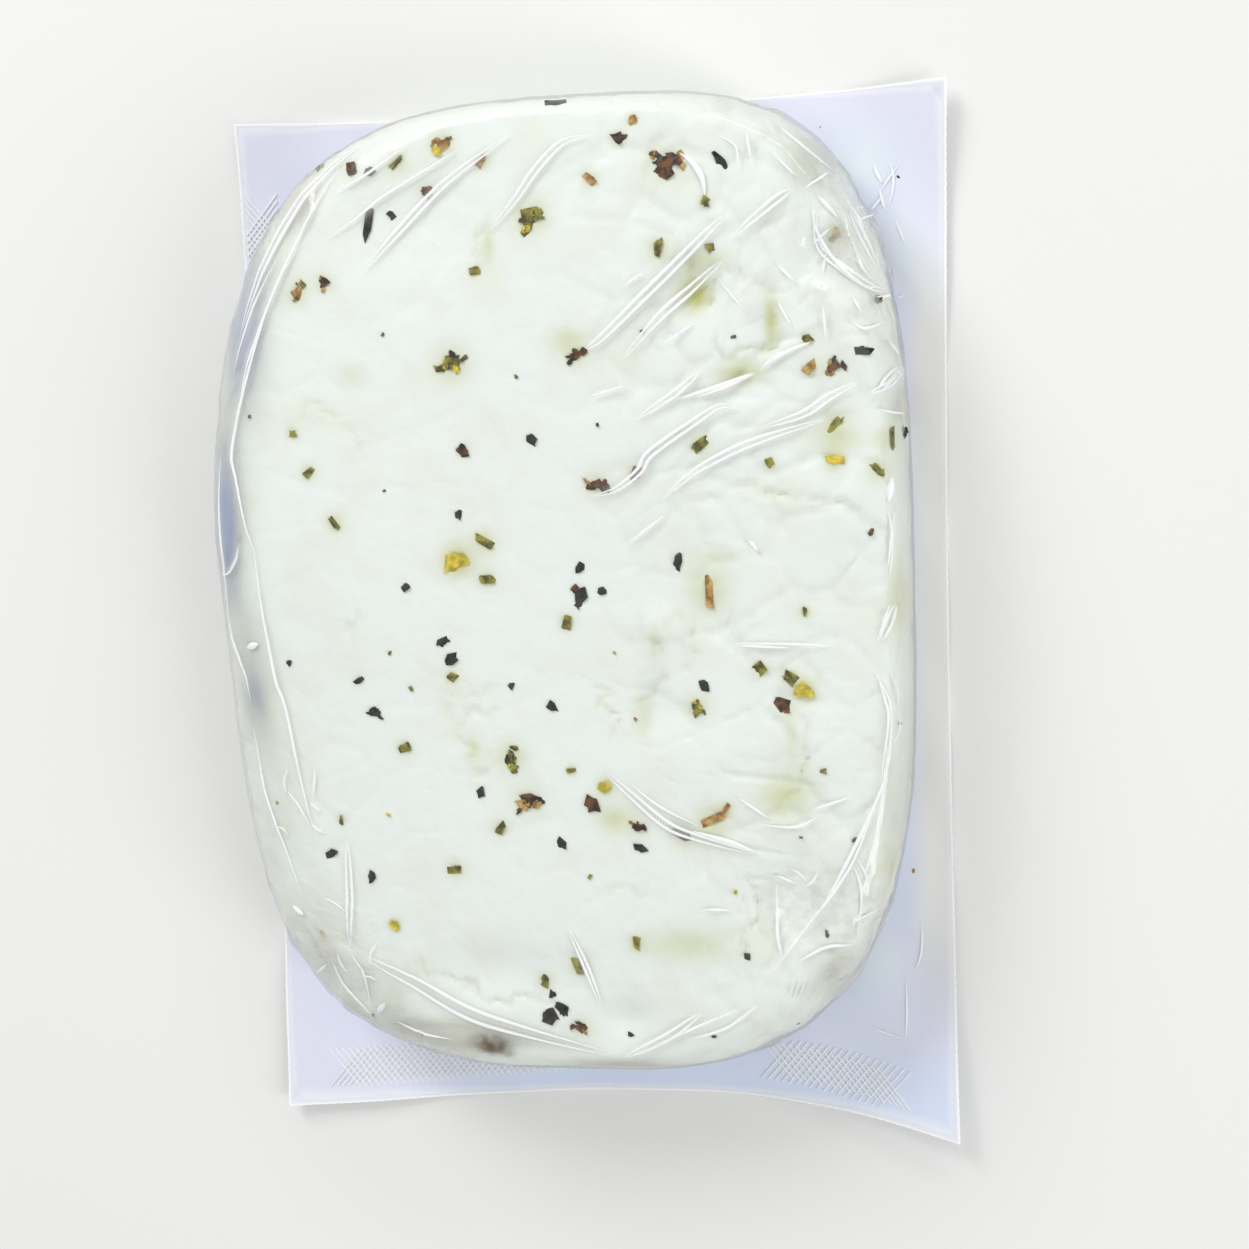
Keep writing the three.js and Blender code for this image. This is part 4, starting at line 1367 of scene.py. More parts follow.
@dataclass
class BackingWeb:
    """The lavender sheet behind the cheese, with its border drawn in, lifted and finely serrated."""

    half_width: float = 51.5
    half_length: float = 74.5
    thickness: float = 0.45
    drawn_left: float = 0.4
    drawn_right: float = 0.8
    drawn_top: float = 1.2
    drawn_bottom: float = 4.6
    bottom_skew: float = 0.6
    lift_left: float = 1.6
    lift_right: float = 3.2
    lift_from: float = 0.1
    lift_to: float = 0.45
    ripple: float = 0.35
    ripple_length: float = 23.0
    tooth: float = 0.14
    tooth_pitch: float = 1.3
    edge_step: float = 0.5
    rings: int = 12
    ring_bias: float = 1.6
    under_pouch: float = 0.97
    piece: bpy.types.Object = None

    def height(self, x: np.ndarray, y: np.ndarray) -> np.ndarray:
        """Lay out the sheet's underside: flat under the pouch, lifted and rippled beyond it.

        Args:
            x: plan places.
            y: plan places.

        Returns:
            The heights in millimetres.
        """
        beyond = FOOT_OUTLINE.beyond(x, y)
        lift = np.where(x < 0, self.lift_left, self.lift_right)
        wave = 0.5 + 0.5 * np.sin(2 * math.pi * (x + y) / self.ripple_length)
        curl = lift * smoothstep(self.lift_from, self.lift_to, beyond)
        return curl + self.ripple * wave * smoothstep(0.02, 0.1, beyond)

    def edge(self, u: np.ndarray, v: np.ndarray, inset: float = 0.0) -> tuple[np.ndarray, np.ndarray]:
        """Find places on the cut edge, for places on the edge of the unit square.

        Args:
            u: first coordinates on the edge of the unit square.
            v: second coordinates.
            inset: how far inside the cut edge.

        Returns:
            The places, as X and Y.
        """
        side_in = np.where(u < 0, self.drawn_left, self.drawn_right)
        end_in = np.where(v < 0, self.drawn_bottom * (1 + self.bottom_skew * u), self.drawn_top)
        x = u * (self.half_width - inset - side_in * (1 - v**2) * np.abs(u) ** 3)
        y = v * (self.half_length - inset - end_in * (1 - u**2) * np.abs(v) ** 3)
        return x, y

    def build(self, finish: WebFinish) -> bpy.types.Object:
        """Make the sheet from rings of vertices round its middle, both faces alike.

        Args:
            finish: the sheet's finish.

        Returns:
            The finished piece.
        """
        across = int(2 * self.half_width / self.edge_step)
        along = int(2 * self.half_length / self.edge_step)
        side = np.linspace(-1, 1, along, endpoint=False)
        end = np.linspace(-1, 1, across, endpoint=False)
        u = np.concatenate([end, np.ones(along), -end, -np.ones(along)])
        v = np.concatenate([-np.ones(across), side, np.ones(across), -side])
        edge_x, edge_y = self.edge(u, v)
        run = np.cumsum(np.hypot(np.diff(edge_x, prepend=edge_x[-1]), np.diff(edge_y, prepend=edge_y[-1])))
        tooth = self.tooth * (np.abs((run / self.tooth_pitch) % 1.0 - 0.5) * 2 - 1)
        tooth *= 0.5 + value_noise(run / 9.0, 0 * run, 4)
        bite_x, bite_y = self.edge(u, v, 1.0)
        bite_x, bite_y = edge_x - bite_x, edge_y - bite_y
        foot_x, foot_y = FOOT_OUTLINE.point(u, v)
        count = len(u)
        shares = [1 - (1 - i / self.rings) ** self.ring_bias for i in range(self.rings + 1)]
        top, low, near, rim = [], [], [], []
        for share in shares:
            x = edge_x + (foot_x * self.under_pouch - edge_x) * share + bite_x * tooth * (share == 0)
            y = edge_y + (foot_y * self.under_pouch - edge_y) * share + bite_y * tooth * (share == 0)
            z = self.height(x, y)
            top.append(np.stack([x, y, z + self.thickness], -1))
            low.append(np.stack([x, y, z], -1))
            # nearness to the pouch, which the finish turns into a bluer, darker tone that is partly painted
            # shade
            near.append(np.full(count, smoothstep(0.25, 0.85, np.array(share))))
            # the cut edge's outer ring carries a painted white highlight
            rim.append(np.full(count, float(share == 0)))
        middle = np.array([[0, 0, self.thickness]]), np.array([[0, 0, 0.0]])
        places = np.vstack([*top, middle[0], *low, middle[1]])
        x, y = places[:, 0], places[:, 1]
        values = {
            "near": np.concatenate([*near, [1.0], *near, [1.0]]),
            "rim": np.concatenate([*rim, [0.0], *rim, [0.0]]),
            # right: where painted light lifts the pouch's shade on the right flange
            "right": smoothstep(44.0, 48.0, x) * smoothstep(60.0, 40.0, y) * smoothstep(-60.0, -40.0, y),
            "low": smoothstep(-58.0, -68.0, y) * smoothstep(-40.0, -10.0, x),
            "gusset": np.clip(swells_at(GUSSETS, x, y), 0.0, 1.0),
        }
        side_count = count * len(shares) + 1
        here = np.arange(count)
        after = (here + 1) % count
        faces = []
        for ring in range(self.rings):
            outer, inner = ring * count, (ring + 1) * count
            faces += np.stack([outer + here, outer + after, inner + after, inner + here], -1).tolist()
            below = np.stack([outer + after, outer + here, inner + here, inner + after], -1) + side_count
            faces += below.tolist()
        last = self.rings * count
        faces += [[last + int(a), last + int(b), side_count - 1] for a, b in zip(here, after)]
        below = side_count + last
        faces += [[below + int(b), below + int(a), 2 * side_count - 1] for a, b in zip(here, after)]
        faces += np.stack([here + side_count, after + side_count, after, here], -1).tolist()
        self.piece = make_mesh("web_sheet", places, faces, values)
        self.piece.data.materials.append(finish.make())
        return self.piece


@dataclass
class Film:
    """The clear film: over the cheese, down the walls and out over the web to its edge."""

    web: BackingWeb
    skin: Skin = Skin()
    grid: RingGrid = RingGrid(166, 242, 36, 8)
    skirt_gap: float = 0.1
    skirt_inset: float = 0.35
    fold_share: float = 0.5
    wall_crumple: float = 0.35
    facet: tuple[float, float, float] = (4.6, 6.5, 5.0)
    facet_rise: float = 1.1
    small_facet: tuple[float, float, float] = (2.4, 3.2, 3.0)
    small_facet_rise: float = 0.45
    crumpled: tuple[Swell, ...] = (
        Swell(37, 52, 9, 13, 1.0),
        Swell(33, -36, 11, 11, 1.0),
        Swell(-36, -46, 9, 11, 1.0),
    )
    piece: bpy.types.Object = None
    places: np.ndarray = None
    normals: np.ndarray = None
    crest: np.ndarray = None
    lift: np.ndarray = None

    def relief(self, u: np.ndarray, v: np.ndarray, places: np.ndarray) -> tuple[np.ndarray, np.ndarray]:
        """How far folds and crumples lift the film off its smooth skin.

        Args:
            u: first coordinate of each place on the skin's square.
            v: second coordinate of each place.
            places: the places on the smooth skin.

        Returns:
            The rise of each place, and how near it is to a crest, 0 to 1.
        """
        ring = np.maximum(np.abs(u), np.abs(v))
        x, y = places[:, 0], places[:, 1]
        fold, crest = creases_at(FILM_FOLDS, x, y)
        wall = smoothstep(0.9, 1.25, ring) * (1 - smoothstep(1.8, 2.0, ring))
        corner = smoothstep(0.25, 0.75, np.minimum(np.abs(u), np.abs(v)) / np.maximum(ring, 1e-9))
        on_wall = self.wall_crumple * wall * (0.3 + corner)
        crumple = np.clip(swells_at(self.crumpled, x, y) + on_wall, 0.0, 1.2)
        crumple *= 1 - smoothstep(1.8, 2.0, ring)
        facet, seam = facets(places / np.array(self.facet), 7)
        small, small_seam = facets(places / np.array(self.small_facet) + 11.0, 8)
        rise = self.fold_share * fold * (1 - smoothstep(1.7, 2.0, ring))
        rise = rise + crumple * (self.facet_rise * facet + self.small_facet_rise * small)
        crest = np.clip(0.9 * crest + crumple * (0.7 * seam + 0.35 * small_seam), 0.0, 1.0)
        return np.maximum(rise, -0.5), crest

    def shape(self) -> None:
        """Work out every place of the film, its normals and how near it is to a crest."""
        u, v = self.grid.coordinates()
        ring = np.maximum(np.abs(u), np.abs(v))
        places = self.skin.places(u, v)
        edge = np.maximum(ring, 1e-9)
        rim_x, rim_y = self.web.edge(u / edge, v / edge, self.skirt_inset)
        foot_x, foot_y = self.skin.places(2 * u / edge, 2 * v / edge)[:, :2].T
        out = np.clip(ring - 2.0, 0.0, 1.0)
        on_skirt = ring > 2.0
        places[:, 0] = np.where(on_skirt, foot_x + (rim_x - foot_x) * out, places[:, 0])
        places[:, 1] = np.where(on_skirt, foot_y + (rim_y - foot_y) * out, places[:, 1])
        sheet = self.web.height(places[:, 0], places[:, 1]) + self.web.thickness + self.skirt_gap
        fillet = 0.5 * np.exp(-out * 14)
        places[:, 2] = np.where(on_skirt, sheet + fillet * (out > 0), places[:, 2])
        normals = self.grid.normals(places)
        self.lift, self.crest = self.relief(u, v, places)
        wave = (value_noise(places[:, 0] / 3.0, places[:, 1] / 9.0, 12) - 0.5) * 0.12
        rise = np.where(on_skirt, np.maximum(wave, -0.04), self.lift)
        self.places = places + normals * rise[:, None]
        self.normals = self.grid.normals(self.places)

    def build(self, finish: FilmFinish) -> bpy.types.Object:
        """Make the film as one closed envelope, whose underside is welded into the web.

        Args:
            finish: the film's finish.

        Returns:
            The finished piece.
        """
        self.shape()
        u, v = self.grid.coordinates()
        ring = np.maximum(np.abs(u), np.abs(v))
        quads = self.grid.quads()
        count = len(self.places)
        border = self.grid.border()
        under = np.flatnonzero((ring > 1.999) & (ring < 2.999))
        number = np.full(count, -1)
        number[under] = count + np.arange(len(under))
        number[border] = border
        low = self.places[under].copy()
        low[:, 2] = self.web.height(low[:, 0], low[:, 1]) + 0.4 * self.web.thickness
        skirt = quads[(ring[quads] > 1.999).all(1)]
        below = number[skirt][:, ::-1].tolist()
        foot = RingGrid(self.grid.face_x, self.grid.face_y, self.grid.wall)
        across = self.grid.face_x + 2 * (self.grid.wall + self.grid.skirt) + 1
        inner_across = self.grid.face_x + 2 * self.grid.wall + 1
        loop = foot.border()
        loop = (loop // inner_across + self.grid.skirt) * across + loop % inner_across + self.grid.skirt
        middle = count + len(under)
        fan = [[int(number[b]), int(number[a]), middle] for a, b in zip(loop, np.roll(loop, -1))]
        places = np.vstack([self.places, low, [[0.0, 0.0, 0.4 * self.web.thickness]]])
        # the crease attribute whitens the film along folds and seams, partly as painted highlight
        crest = np.concatenate([self.crest, np.zeros(len(low) + 1)])
        self.piece = make_mesh("film_wrap", places, quads.tolist() + below + fan, {"crease": crest})
        self.piece.data.materials.append(finish.make("clear shrink film"))
        return self.piece


@dataclass
class CheeseBlock:
    """The block of pressed curd, which the shrunken film lies close upon."""

    film: Film
    grid: RingGrid = RingGrid(156, 228, 32)
    clearance: float = 0.3
    halos: dict[Herb, float] = field(
        default_factory=lambda: {Herb.GOLDEN: 0.8, Herb.OLIVE: 0.45, Herb.STRAW: 0.45, Herb.BROWN: 0.3}
    )
    piece: bpy.types.Object = None

    def relief(self, x: np.ndarray, y: np.ndarray, places: np.ndarray) -> np.ndarray:
        """Curd lumps and cracks: the left is smooth, the right side and the walls are broken.

        Args:
            x: places along the first axis.
            y: places along the second axis.
            places: the same places with their heights.

        Returns:
            The rise of each place, below 0 in a crack.
        """
        cracks, _ = creases_at(CURD_CRACKS, *crinkled(x, y))
        lump, seam = facets(places / np.array([9.0, 8.0, 9.0]) + 3.0, 21, 6.0)
        small, small_seam = facets(places / np.array([4.0, 4.6, 4.0]) + 7.0, 22, 7.0)
        broken = 0.25 + 0.75 * smoothstep(2.0, 26.0, x + 0.15 * y)
        low_side = smoothstep(19.0, 14.0, places[:, 2])
        fine = (value_noise(x / 2.2, y / 2.2, 31) - 0.5) * 0.1
        rough = 0.5 * lump - 0.3 * seam + 0.26 * small - 0.18 * small_seam
        return 1.3 * cracks + np.maximum(broken, 0.8 * low_side) * rough + fine

    def stain(self, x: np.ndarray, y: np.ndarray, z: np.ndarray) -> np.ndarray:
        """How much each place is coloured by whey and by the flakes that lie in it.

        Args:
            x: places along the first axis.
            y: places along the second axis.
            z: heights, as the stains fade down the walls.

        Returns:
            The share of stain at each place, 0 to 1.
        """
        _, crack = creases_at(CURD_CRACKS, *crinkled(x, y))
        amount = swells_at(STAINS, x, y) + 0.16 * crack
        for kind, strength in self.halos.items():
            for px, py, length, width, _ in LANDMARKS[kind]:
                amount += strength * bell(np.hypot(x - px, y - py) / (0.6 * length + 0.5 * width))
        ragged_height = z + 4.0 * value_noise(x / 5.0, y / 5.0, 61)
        return np.clip(amount, 0.0, 1.0) * smoothstep(9.0, 17.0, ragged_height)

    def build(self, finish: CurdFinish) -> bpy.types.Object:
        """Make the block just inside the film, with its own relief where the film leaves it room.

        Args:
            finish: the curd's finish.

        Returns:
            The finished piece.
        """
        u, v = self.grid.coordinates()
        places = self.film.skin.places(u, v)
        normals = self.grid.normals(places)
        cover, _ = self.film.relief(u, v, places)
        own = self.relief(places[:, 0], places[:, 1], places)
        ring = np.maximum(np.abs(u), np.abs(v))
        own *= 1 - smoothstep(1.9, 2.0, ring)
        places += normals * (np.minimum(own, cover) - self.clearance)[:, None]
        stain = self.stain(*places.T)
        places, faces = close_with_fan(places, self.grid.quads(), self.grid.border(), self.film.skin.base)
        self.piece = make_mesh("cheese_block", places, faces, {"stain": np.append(stain, 0.0)})
        self.piece.data.materials.append(finish.make())
        return self.piece


@dataclass
class Whey:
    """Cloudy liquid in the thin gap between the cheese and the film, which also carries a painted
    grey-lavender shade on the left wall.
    """

    film: Film
    inset: float = 0.12
    wall_veil: float = 0.1
    lifted_veil: float = 0.8
    # Pockets of cloudy whey: x, y, half widths, strength; the three on the left wall also hold the painted
    # shade there
    whey_and_shade_pockets: tuple[Swell, ...] = (
        Swell(-50, 20, 5.5, 15, 1.1),
        Swell(-46, -6, 4.5, 14, 0.42),
        Swell(-45, 46, 5.5, 16, 0.9),
        Swell(-37, 61, 5, 5, 0.65),
        Swell(-38, -44, 5, 7, 0.25),
        Swell(-18, -55.5, 15, 2.8, 1.1),
        Swell(6, -60, 10, 2.2, 0.8),
        Swell(44, -22, 2.5, 12, 0.22),
        Swell(36, -46, 5, 7, 0.4),
        Swell(35, 63, 4, 5, 0.5),
        Swell(46, 31, 1.6, 3, 0.8),
    )
    # Where the whey takes the painted grey-lavender shade of the left wall: x, y, half widths, strength
    painted_shade_spots: tuple[Swell, ...] = (
        Swell(-48.7, 18, 2.3, 10, 0.8),
        Swell(-45, 44, 7, 18, 0.75),
        Swell(-49, 12, 6, 22, 0.6),
        Swell(-46, -7, 2.4, 5, 0.8),
    )
    dreg_spots: tuple[Swell, ...] = (
        Swell(-12.6, -56.6, 4.0, 2.2, 1.2),
        Swell(-10, -57.8, 1.2, 0.8, 0.5),
        Swell(-46.2, 15.3, 0.7, 1.6, 0.55),
        Swell(-51.3, 30.5, 0.6, 0.6, 0.3),
        Swell(38.2, -37.5, 1.4, 0.9, 0.2),
    )
    piece: bpy.types.Object = None

    def build(self, finish: WheyFinish) -> bpy.types.Object:
        """Make the liquid as a layer just inside the film, cloudier where a pocket holds more of it, and
        tinted with painted shade on the left wall.

        Args:
            finish: the whey's finish.

        Returns:
            The finished piece.
        """
        grid = self.film.grid
        inner = RingGrid(grid.face_x, grid.face_y, grid.wall)
        across = grid.face_x + 2 * (grid.wall + grid.skirt) + 1
        rows = grid.face_y + 2 * (grid.wall + grid.skirt) + 1
        keep = np.arange(across * rows).reshape(rows, across)
        keep = keep[grid.skirt : -grid.skirt, grid.skirt : -grid.skirt].ravel()
        places = self.film.places[keep] - self.film.normals[keep] * self.inset
        u, v = inner.coordinates()
        floor = self.film.web.thickness + 0.1
        places[:, 2] = np.maximum(places[:, 2], floor)
        x, y = places[:, 0], places[:, 1]
        ring = np.maximum(np.abs(u), np.abs(v))
        on_wall = smoothstep(1.02, 1.3, ring)
        lifted = self.lifted_veil * np.clip(self.film.lift[keep], 0.0, 0.5)
        pocket = self.wall_veil * on_wall + swells_at(self.whey_and_shade_pockets, x, y) * smoothstep(0.86, 0.98, ring)
        depth = np.clip(pocket + lifted, 0.0, 0.9)
        rough = value_noise(x / 0.8, y / 0.8, 17)
        dregs = np.clip(swells_at(self.dreg_spots, x, y) * (0.55 + 0.7 * rough), 0.0, 1.0)
        depth = np.maximum(depth, dregs)
        # painted shade: grey-lavender on the left wall
        cool = np.clip(swells_at(self.painted_shade_spots, x, y), 0.0, 1.0)
        places, faces = close_with_fan(places, inner.quads(), inner.border(), floor)
        values = {
            "depth": np.append(depth, 0.9),
            "cool": np.append(cool, 0.0),
            "dregs": np.append(dregs, 0.0),
        }
        self.piece = make_mesh("whey_layer", places, faces, values)
        self.piece.data.materials.append(finish.make())
        return self.piece


@dataclass
class HerbFlakes:
    """The dried herbs: named landmark flakes, torn bits beside them, and seeded small ones.

    There is one piece for each kind of flake.
    """

    film: Film
    cheese: CheeseBlock
    thickness: float = 0.22
    raggedness: float = 0.42
    curl: float = 0.07
    proud: float = 0.4
    under_film: float = 0.3
    deepest_gap: float = 1.5
    body_length: float = 0.62
    body_width: float = 0.66
    most_bits: int = 8
    small_count: int = 34
    torn_from: float = 3.0
    trim: float = 0.9
    seed: int = 41
    corners: dict[Herb, int] = field(
        default_factory=lambda: {Herb.DARK: 5, Herb.OLIVE: 4, Herb.BROWN: 5, Herb.STRAW: 4, Herb.GOLDEN: 6}
    )
    pieces: list = field(default_factory=list)

    def scattered(self) -> dict[Herb, list[tuple[float, ...]]]:
        """Scatter small flakes, each in the emptiest of a few drawn places.

        Returns:
            Rows of x, y, length, width and turn, for each kind.
        """
        rng = np.random.default_rng(self.seed)
        taken = [flake[:2] for flakes in LANDMARKS.values() for flake in flakes]
        kinds = list(Herb)
        found = {kind: [] for kind in kinds}
        for _ in range(self.small_count):
            tries = rng.uniform((-44, -58), (46, 70), (7, 2))
            room = [min(math.dist(t, other) for other in taken) for t in tries]
            x, y = tries[int(np.argmax(room))]
            taken.append((x, y))
            kind = kinds[rng.choice(len(kinds), p=(0.38, 0.32, 0.14, 0.08, 0.08))]
            length = 0.5 + 0.6 * rng.random() ** 2
            found[kind].append((x, y, length, length * rng.uniform(0.45, 0.8), rng.uniform(0, 180)))
        return found

    def torn_bits(self) -> dict[Herb, list[tuple[float, ...]]]:
        """Split each larger flake into a smaller body and angular bits of mixed tones round it.

        Returns:
            Rows of x, y, length, width and turn, for each kind.
        """
        rng = np.random.default_rng(self.seed + 1)
        found = {kind: [] for kind in Herb}
        for kind, flakes in LANDMARKS.items():
            for x, y, length, width, turn in flakes:
                if kind is Herb.GOLDEN or length * width < self.torn_from or width < 1.4:
                    found[kind].append((x, y, length, width, turn))
                    continue
                found[kind].append((x, y, self.body_length * length, self.body_width * width, turn))
                lean = math.radians(turn)
                for _ in range(int(min(self.most_bits, 2 + length * width / 1.5))):
                    along = rng.uniform(-0.48, 0.48) * length
                    side = rng.uniform(-0.5, 0.5) * width
                    place = (
                        x + along * math.cos(lean) - side * math.sin(lean),
                        y + along * math.sin(lean) + side * math.cos(lean),
                    )
                    size = rng.uniform(0.28, 0.52) * length
                    tone = (kind, kind, *TORN_TONES[kind])[rng.integers(4)]
                    thin = min(size, width) * rng.uniform(0.35, 0.6)
                    found[tone].append((*place, size, thin, turn + rng.uniform(-70, 70)))
        return found

    def carry(self, flakes: list[tuple[float, ...]], name: str) -> bpy.types.Object:
        """Make the points that carry flakes of one kind, on the cheese or just under the film.

        Args:
            flakes: rows of x, y, length, width and turn.
            name: the piece's name.

        Returns:
            An object of bare points, with each flake's size, turn and way out.
        """
        block = tree_of(self.cheese.piece)
        cover = tree_of(self.film.piece)
        down = Vector((0, 0, -1))
        spots, sizes, turns, ways = [], [], [], []
        for x, y, length, width, turn in flakes:
            above = Vector((x, y, LOOK_FROM)) * MM
            lid, lid_way, _, _ = cover.ray_cast(above, down)
            if lid is None:
                continue
            spot, way, _, _ = block.ray_cast(above, down)
            if spot is None or lid.z - spot.z > self.deepest_gap * MM:
                spot, way = lid - lid_way * self.under_film * MM, lid_way
            spots.append(spot + way * self.proud * self.thickness * MM)
            sizes.append((self.trim * length * MM, self.trim * width * MM, self.thickness * MM))
            turns.append(math.radians(turn))
            ways.append(tuple(way))
        mesh = bpy.data.meshes.new(name)
        mesh.from_pydata(spots, [], [])
        mesh.attributes.new("size", "FLOAT_VECTOR", "POINT").data.foreach_set("vector", np.ravel(sizes))
        mesh.attributes.new("way_out", "FLOAT_VECTOR", "POINT").data.foreach_set("vector", np.ravel(ways))
        mesh.attributes.new("turn", "FLOAT", "POINT").data.foreach_set("value", turns)
        made = bpy.data.objects.new(name, mesh)
        bpy.context.scene.collection.objects.link(made)
        return made

    def build(self, finishes: dict[Herb, HerbFinish]) -> list[bpy.types.Object]:
        """Make one piece for each kind of flake.

        Args:
            finishes: the finish of each kind.

        Returns:
            The pieces.
        """
        shape = flake_shape()
        small = self.scattered()
        torn = self.torn_bits()
        for kind in Herb:
            base = self.carry([*torn[kind], *small[kind]], f"flakes_{kind.value}")
            finish = finishes[kind].make(f"dried herb {kind.value.split('_')[1]}")
            values = {
                "Corners": self.corners[kind], "Raggedness": self.raggedness, "Curl": self.curl * MM,
                "Seed": self.seed, "Material": finish,
            }
            piece = shape.run(base, values)
            self.pieces.append((piece, kind))
        return [piece for piece, _ in self.pieces]


@dataclass
class FilmPinchesAndGlints:
    """Fine white beads along the film's folds, glints and crumples, single or as a pair of lines: partly
    pinched film, partly painted highlight.
    """

    film: Film
    half_width: float = 0.32
    half_height: float = 0.08
    least_thin: float = 0.05
    longest_step: float = 1.4
    seed: int = 23
    piece: bpy.types.Object = None

    def hooks(self) -> list[Crease]:
        """Draw short seeded hooks, white strokes of painted highlight, in the parts where the film is
        crumpled.

        Returns:
            The hooks.
        """
        rng = np.random.default_rng(self.seed)
        found = []
        for x, y, reach_x, reach_y, turn, count in CRUMPLED:
            for _ in range(count):
                start = np.array([x + reach_x * rng.uniform(-1, 1), y + reach_y * rng.uniform(-1, 1)])
                way = math.radians(turn + rng.normal(0, 32))
                length = rng.uniform(1.5, 5.0)
                bend = rng.uniform(-0.5, 0.5)
                first = start + 0.5 * length * np.array([math.cos(way), math.sin(way)])
                last = first + 0.5 * length * np.array([math.cos(way + bend), math.sin(way + bend)])
                found.append(Crease(0.4, rng.uniform(0.1, 0.45), (tuple(start), tuple(first), tuple(last))))
        return found

    def build(self, material: bpy.types.Material) -> bpy.types.Object:
        """Lay every fold's line on the film and sweep the bead along it.

        Args:
            material: the finish of the beads, white as a painted highlight.

        Returns:
            The finished piece.
        """
        cover = tree_of(self.film.piece)
        down = Vector((0, 0, -1))
        places, edges, thin = [], [], []
        for fold in (*FILM_FOLDS, *GLINTS, *self.hooks()):
            line = fold.curve(14)
            way = np.gradient(line, axis=0)
            across = np.stack([-way[:, 1], way[:, 0]], -1) / np.linalg.norm(way, axis=1, keepdims=True)
            sides = (-0.5, 0.5) if fold.twin else (0.0,)
            for side in sides:
                share = np.linspace(0, 1, len(line))
                shift = side * fold.twin * np.sin(math.pi * share) ** 0.6
                track = line + across * shift[:, None]
                previous = None
                for spot, t in zip(track, share):
                    hit = cover.ray_cast(Vector((*spot, LOOK_FROM)) * MM, down)[0]
                    if hit is None:
                        previous = None
                        continue
                    places.append(hit / MM)
                    taper = math.sin(math.pi * t) ** 1.2
                    thin.append(self.least_thin + taper * (0.3 + 0.7 * fold.height))
                    if previous is not None and math.dist(places[previous], places[-1]) < self.longest_step:
                        edges.append((previous, len(places) - 1))
                    previous = len(places) - 1
        mesh = bpy.data.meshes.new("film_pinches")
        mesh.from_pydata((np.array(places) * MM).tolist(), edges, [])
        mesh.attributes.new("thin", "FLOAT", "POINT").data.foreach_set("value", thin)
        base = bpy.data.objects.new("film_pinches", mesh)
        bpy.context.scene.collection.objects.link(base)
        values = {
            "Half width": self.half_width * MM,
            "Half height": self.half_height * MM,
            "Material": material,
        }
        self.piece = pinch_shape().run(base, values)
        return self.piece


@dataclass
class SealKnurl:
    """Fine slanting ribs that the sealing bars press into the border."""

    web: BackingWeb
    pitch: float = 1.0
    length: float = 7.6
    width: float = 0.2
    rise: float = 0.1
    from_edge: float = 6.2
    left_from_edge: float = 3.2
    lift: float = 0.12
    low_left: tuple[float, float] = (-0.93, -0.2)
    low_right: tuple[float, float] = (0.55, 0.93)
    upper_left: tuple[float, float] = (0.62, 0.86)
    slants: tuple[int, int] = (50, 130)

    def build(self, material: bpy.types.Material) -> bpy.types.Object:
        """Lay two sets of ribs, one each way, along the bottom and the upper left of the border.

        Args:
            material: the finish of the ribs.

        Returns:
            The two pieces.
        """
        low_left = np.linspace(*self.low_left, 80)
        low_right = np.linspace(*self.low_right, 60)
        upper = np.linspace(*self.upper_left, 40)
        rows = [
            self.web.edge(low_left, -np.ones_like(low_left), self.from_edge),
            self.web.edge(low_right, -np.ones_like(low_right), self.from_edge),
            self.web.edge(-np.ones_like(upper), upper, self.left_from_edge),
        ]
        shape = knurl_shape()
        made = []
        for slant in self.slants:
            places, edges = [], []
            for x, y in rows:
                start = len(places)
                places += np.stack([x, y, 0 * x], -1).tolist()
                edges += [(start + i, start + i + 1) for i in range(len(x) - 1)]
            mesh = bpy.data.meshes.new("knurl_line")
            mesh.from_pydata((np.array(places) * MM).tolist(), edges, [])
            base = bpy.data.objects.new(f"seal_knurl_{slant}", mesh)
            bpy.context.scene.collection.objects.link(base)
            values = {
                "Pitch": self.pitch * MM, "Length": self.length * MM, "Width": self.width * MM,
                "Rise": self.rise * MM, "Slant": math.radians(slant), "Lift": self.lift * MM,
                "Sheet": self.web.piece, "Material": material,
            }
            made.append(shape.run(base, values))
        return made


# Soft boxes of the studio: name, place and size in metres, watts
SOFTBOXES = (
    ("key_softbox", (-0.42, 0.68, 0.52), (0.35, 0.45), 4.4),
    ("fill_softbox", (0.7, -0.35, 0.5), (0.25, 0.6), 2.6),
    ("top_strip", (0.35, 0.8, 0.45), (0.6, 0.15), 1.2),
)


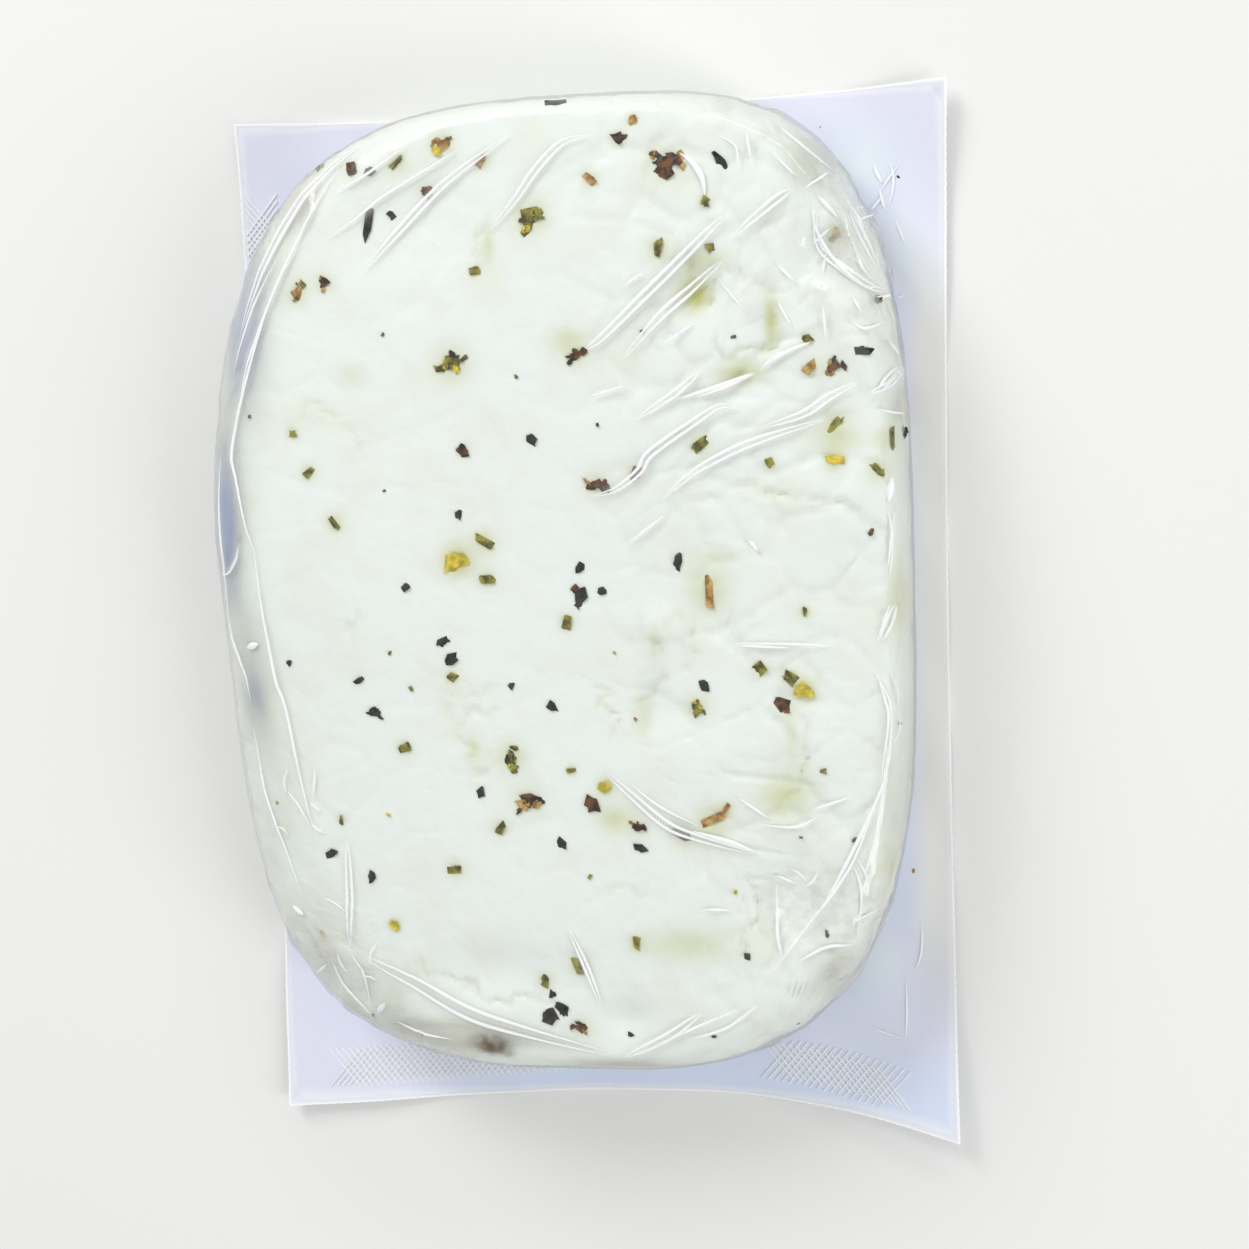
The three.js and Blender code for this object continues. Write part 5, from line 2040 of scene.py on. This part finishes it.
@dataclass
class Studio:
    """Pale floor, soft lights and the camera of the photograph."""

    azimuth: float = 120.0
    elevation: float = 75.28
    roll: float = -1.98
    distance: float = 290.4
    aim: tuple[float, float] = (4.0, 0.3)
    field_of_view: float = 34.68
    floor_half: float = 4000.0
    paper: str = "#EBEBE8"
    air: str = "#F2F3F5"
    air_strength: float = 0.68

    def camera(self) -> bpy.types.Object:
        """Set the camera at the photograph's viewing angle, with the pack's top edge up.

        Returns:
            The camera.
        """
        turn, rise = math.radians(self.azimuth), math.radians(self.elevation)
        back = Vector((math.sin(turn) * math.cos(rise), -math.cos(turn) * math.cos(rise), math.sin(rise)))
        right = Vector((0, 1, 0)).cross(back).normalized()
        lean = Matrix.Rotation(math.radians(self.roll), 3, back)
        right = lean @ right
        up = back.cross(right)
        data = bpy.data.cameras.new("camera")
        data.angle = math.radians(self.field_of_view)
        data.clip_start = 0.01
        data.clip_end = 10.0
        made = bpy.data.objects.new("camera", data)
        place = (back * self.distance + Vector((*self.aim, 0))) * MM
        turned = Matrix((right, up, back)).transposed().to_4x4()
        made.matrix_world = Matrix.Translation(place) @ turned
        bpy.context.scene.collection.objects.link(made)
        bpy.context.scene.camera = made
        return made

    def light(self, name: str, place: tuple, size: tuple, watts: float) -> None:
        """Add a soft box that faces the pack.

        Args:
            name: the light's name.
            place: its middle in metres.
            size: its width and height in metres.
            watts: its power.
        """
        data = bpy.data.lights.new(name, "AREA")
        data.shape = "RECTANGLE"
        data.size, data.size_y = size
        data.energy = watts
        made = bpy.data.objects.new(name, data)
        made.location = place
        made.rotation_euler = (-Vector(place)).to_track_quat("-Z", "Y").to_euler()
        bpy.context.scene.collection.objects.link(made)

    def build(self) -> None:
        """Make the floor, the lights, the surroundings and the camera."""
        material, tree = new_material("pale backdrop paper")
        spot = add_node(tree, "ShaderNodeTexCoord").outputs["Object"]
        grain = add_node(tree, "ShaderNodeTexNoise", links={"Vector": spot, "Scale": 1 / (2 * MM)})
        bump = add_node(
            tree, "ShaderNodeBump",
            links={"Strength": 0.05, "Distance": 0.05 * MM, "Height": grain.outputs["Fac"]},
        )
        shader = add_node(
            tree, "ShaderNodeBsdfPrincipled",
            links={
                "Base Color": linear(self.paper), "Roughness": 0.9, "Specular IOR Level": 0.1,
                "Normal": bump.outputs[0],
            },
        )
        add_node(tree, "ShaderNodeOutputMaterial", links={"Surface": shader.outputs[0]})
        half = self.floor_half
        low = -0.02
        corners = np.array([(-half, -half, low), (half, -half, low), (half, half, low), (-half, half, low)])
        floor = make_mesh("studio_floor", corners, [[0, 1, 2, 3]])
        floor.data.materials.append(material)
        world = bpy.data.worlds.new("soft studio")
        world.use_nodes = True
        surroundings = world.node_tree.nodes["Background"]
        surroundings.inputs["Color"].default_value = linear(self.air)
        surroundings.inputs["Strength"].default_value = self.air_strength
        bpy.context.scene.world = world
        for name, place, size, watts in SOFTBOXES:
            self.light(name, place, size, watts)
        bpy.context.scene.view_settings.view_transform = "Standard"
        self.camera()


def settle(piece: bpy.types.Object, slot: str, node: str) -> None:
    """Let a piece ride on the pack, hide the solid that it replaces and log its finish slot.

    Args:
        piece: the finished piece.
        slot: the material slot of the record.
        node: the solid that the piece stands for.
    """
    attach(piece, "root")
    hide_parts(node)
    piece.data.validate()
    LOG.info("%s: %d faces, slot %s", piece.name, len(piece.data.polygons), slot)


def main() -> None:
    """Build the pack from its web outwards, then the studio round it."""
    logging.basicConfig(level=logging.INFO, format="%(message)s")
    web = BackingWeb()
    settle(web.build(WebFinish()), "backing_web", "backing_web")
    film = Film(web)
    film.build(FilmFinish())
    cheese = CheeseBlock(film)
    settle(cheese.build(CurdFinish()), "cheese", "cheese_in_film")
    whey = Whey(film)
    settle(whey.build(WheyFinish()), "whey", "cheese_in_film")
    flakes = HerbFlakes(film, cheese)
    flakes.build(HERB_FINISHES)
    for piece, kind in flakes.pieces:
        settle(piece, kind.value, "cheese_in_film")
    settle(film.piece, "film", "cheese_in_film")
    # white beads: pinched film and painted highlight; the knurl ribs share this finish
    pinched_and_highlight_finish = FilmFinish(edge_gloss=0.1, most_whitening_and_highlight=1.0).make("pinched shrink film", 0.85)
    settle(FilmPinchesAndGlints(film).build(pinched_and_highlight_finish), "film", "cheese_in_film")
    for piece in SealKnurl(web).build(pinched_and_highlight_finish):
        settle(piece, "film", "backing_web")
    Studio().build()


if __name__ == "__main__":
    main()
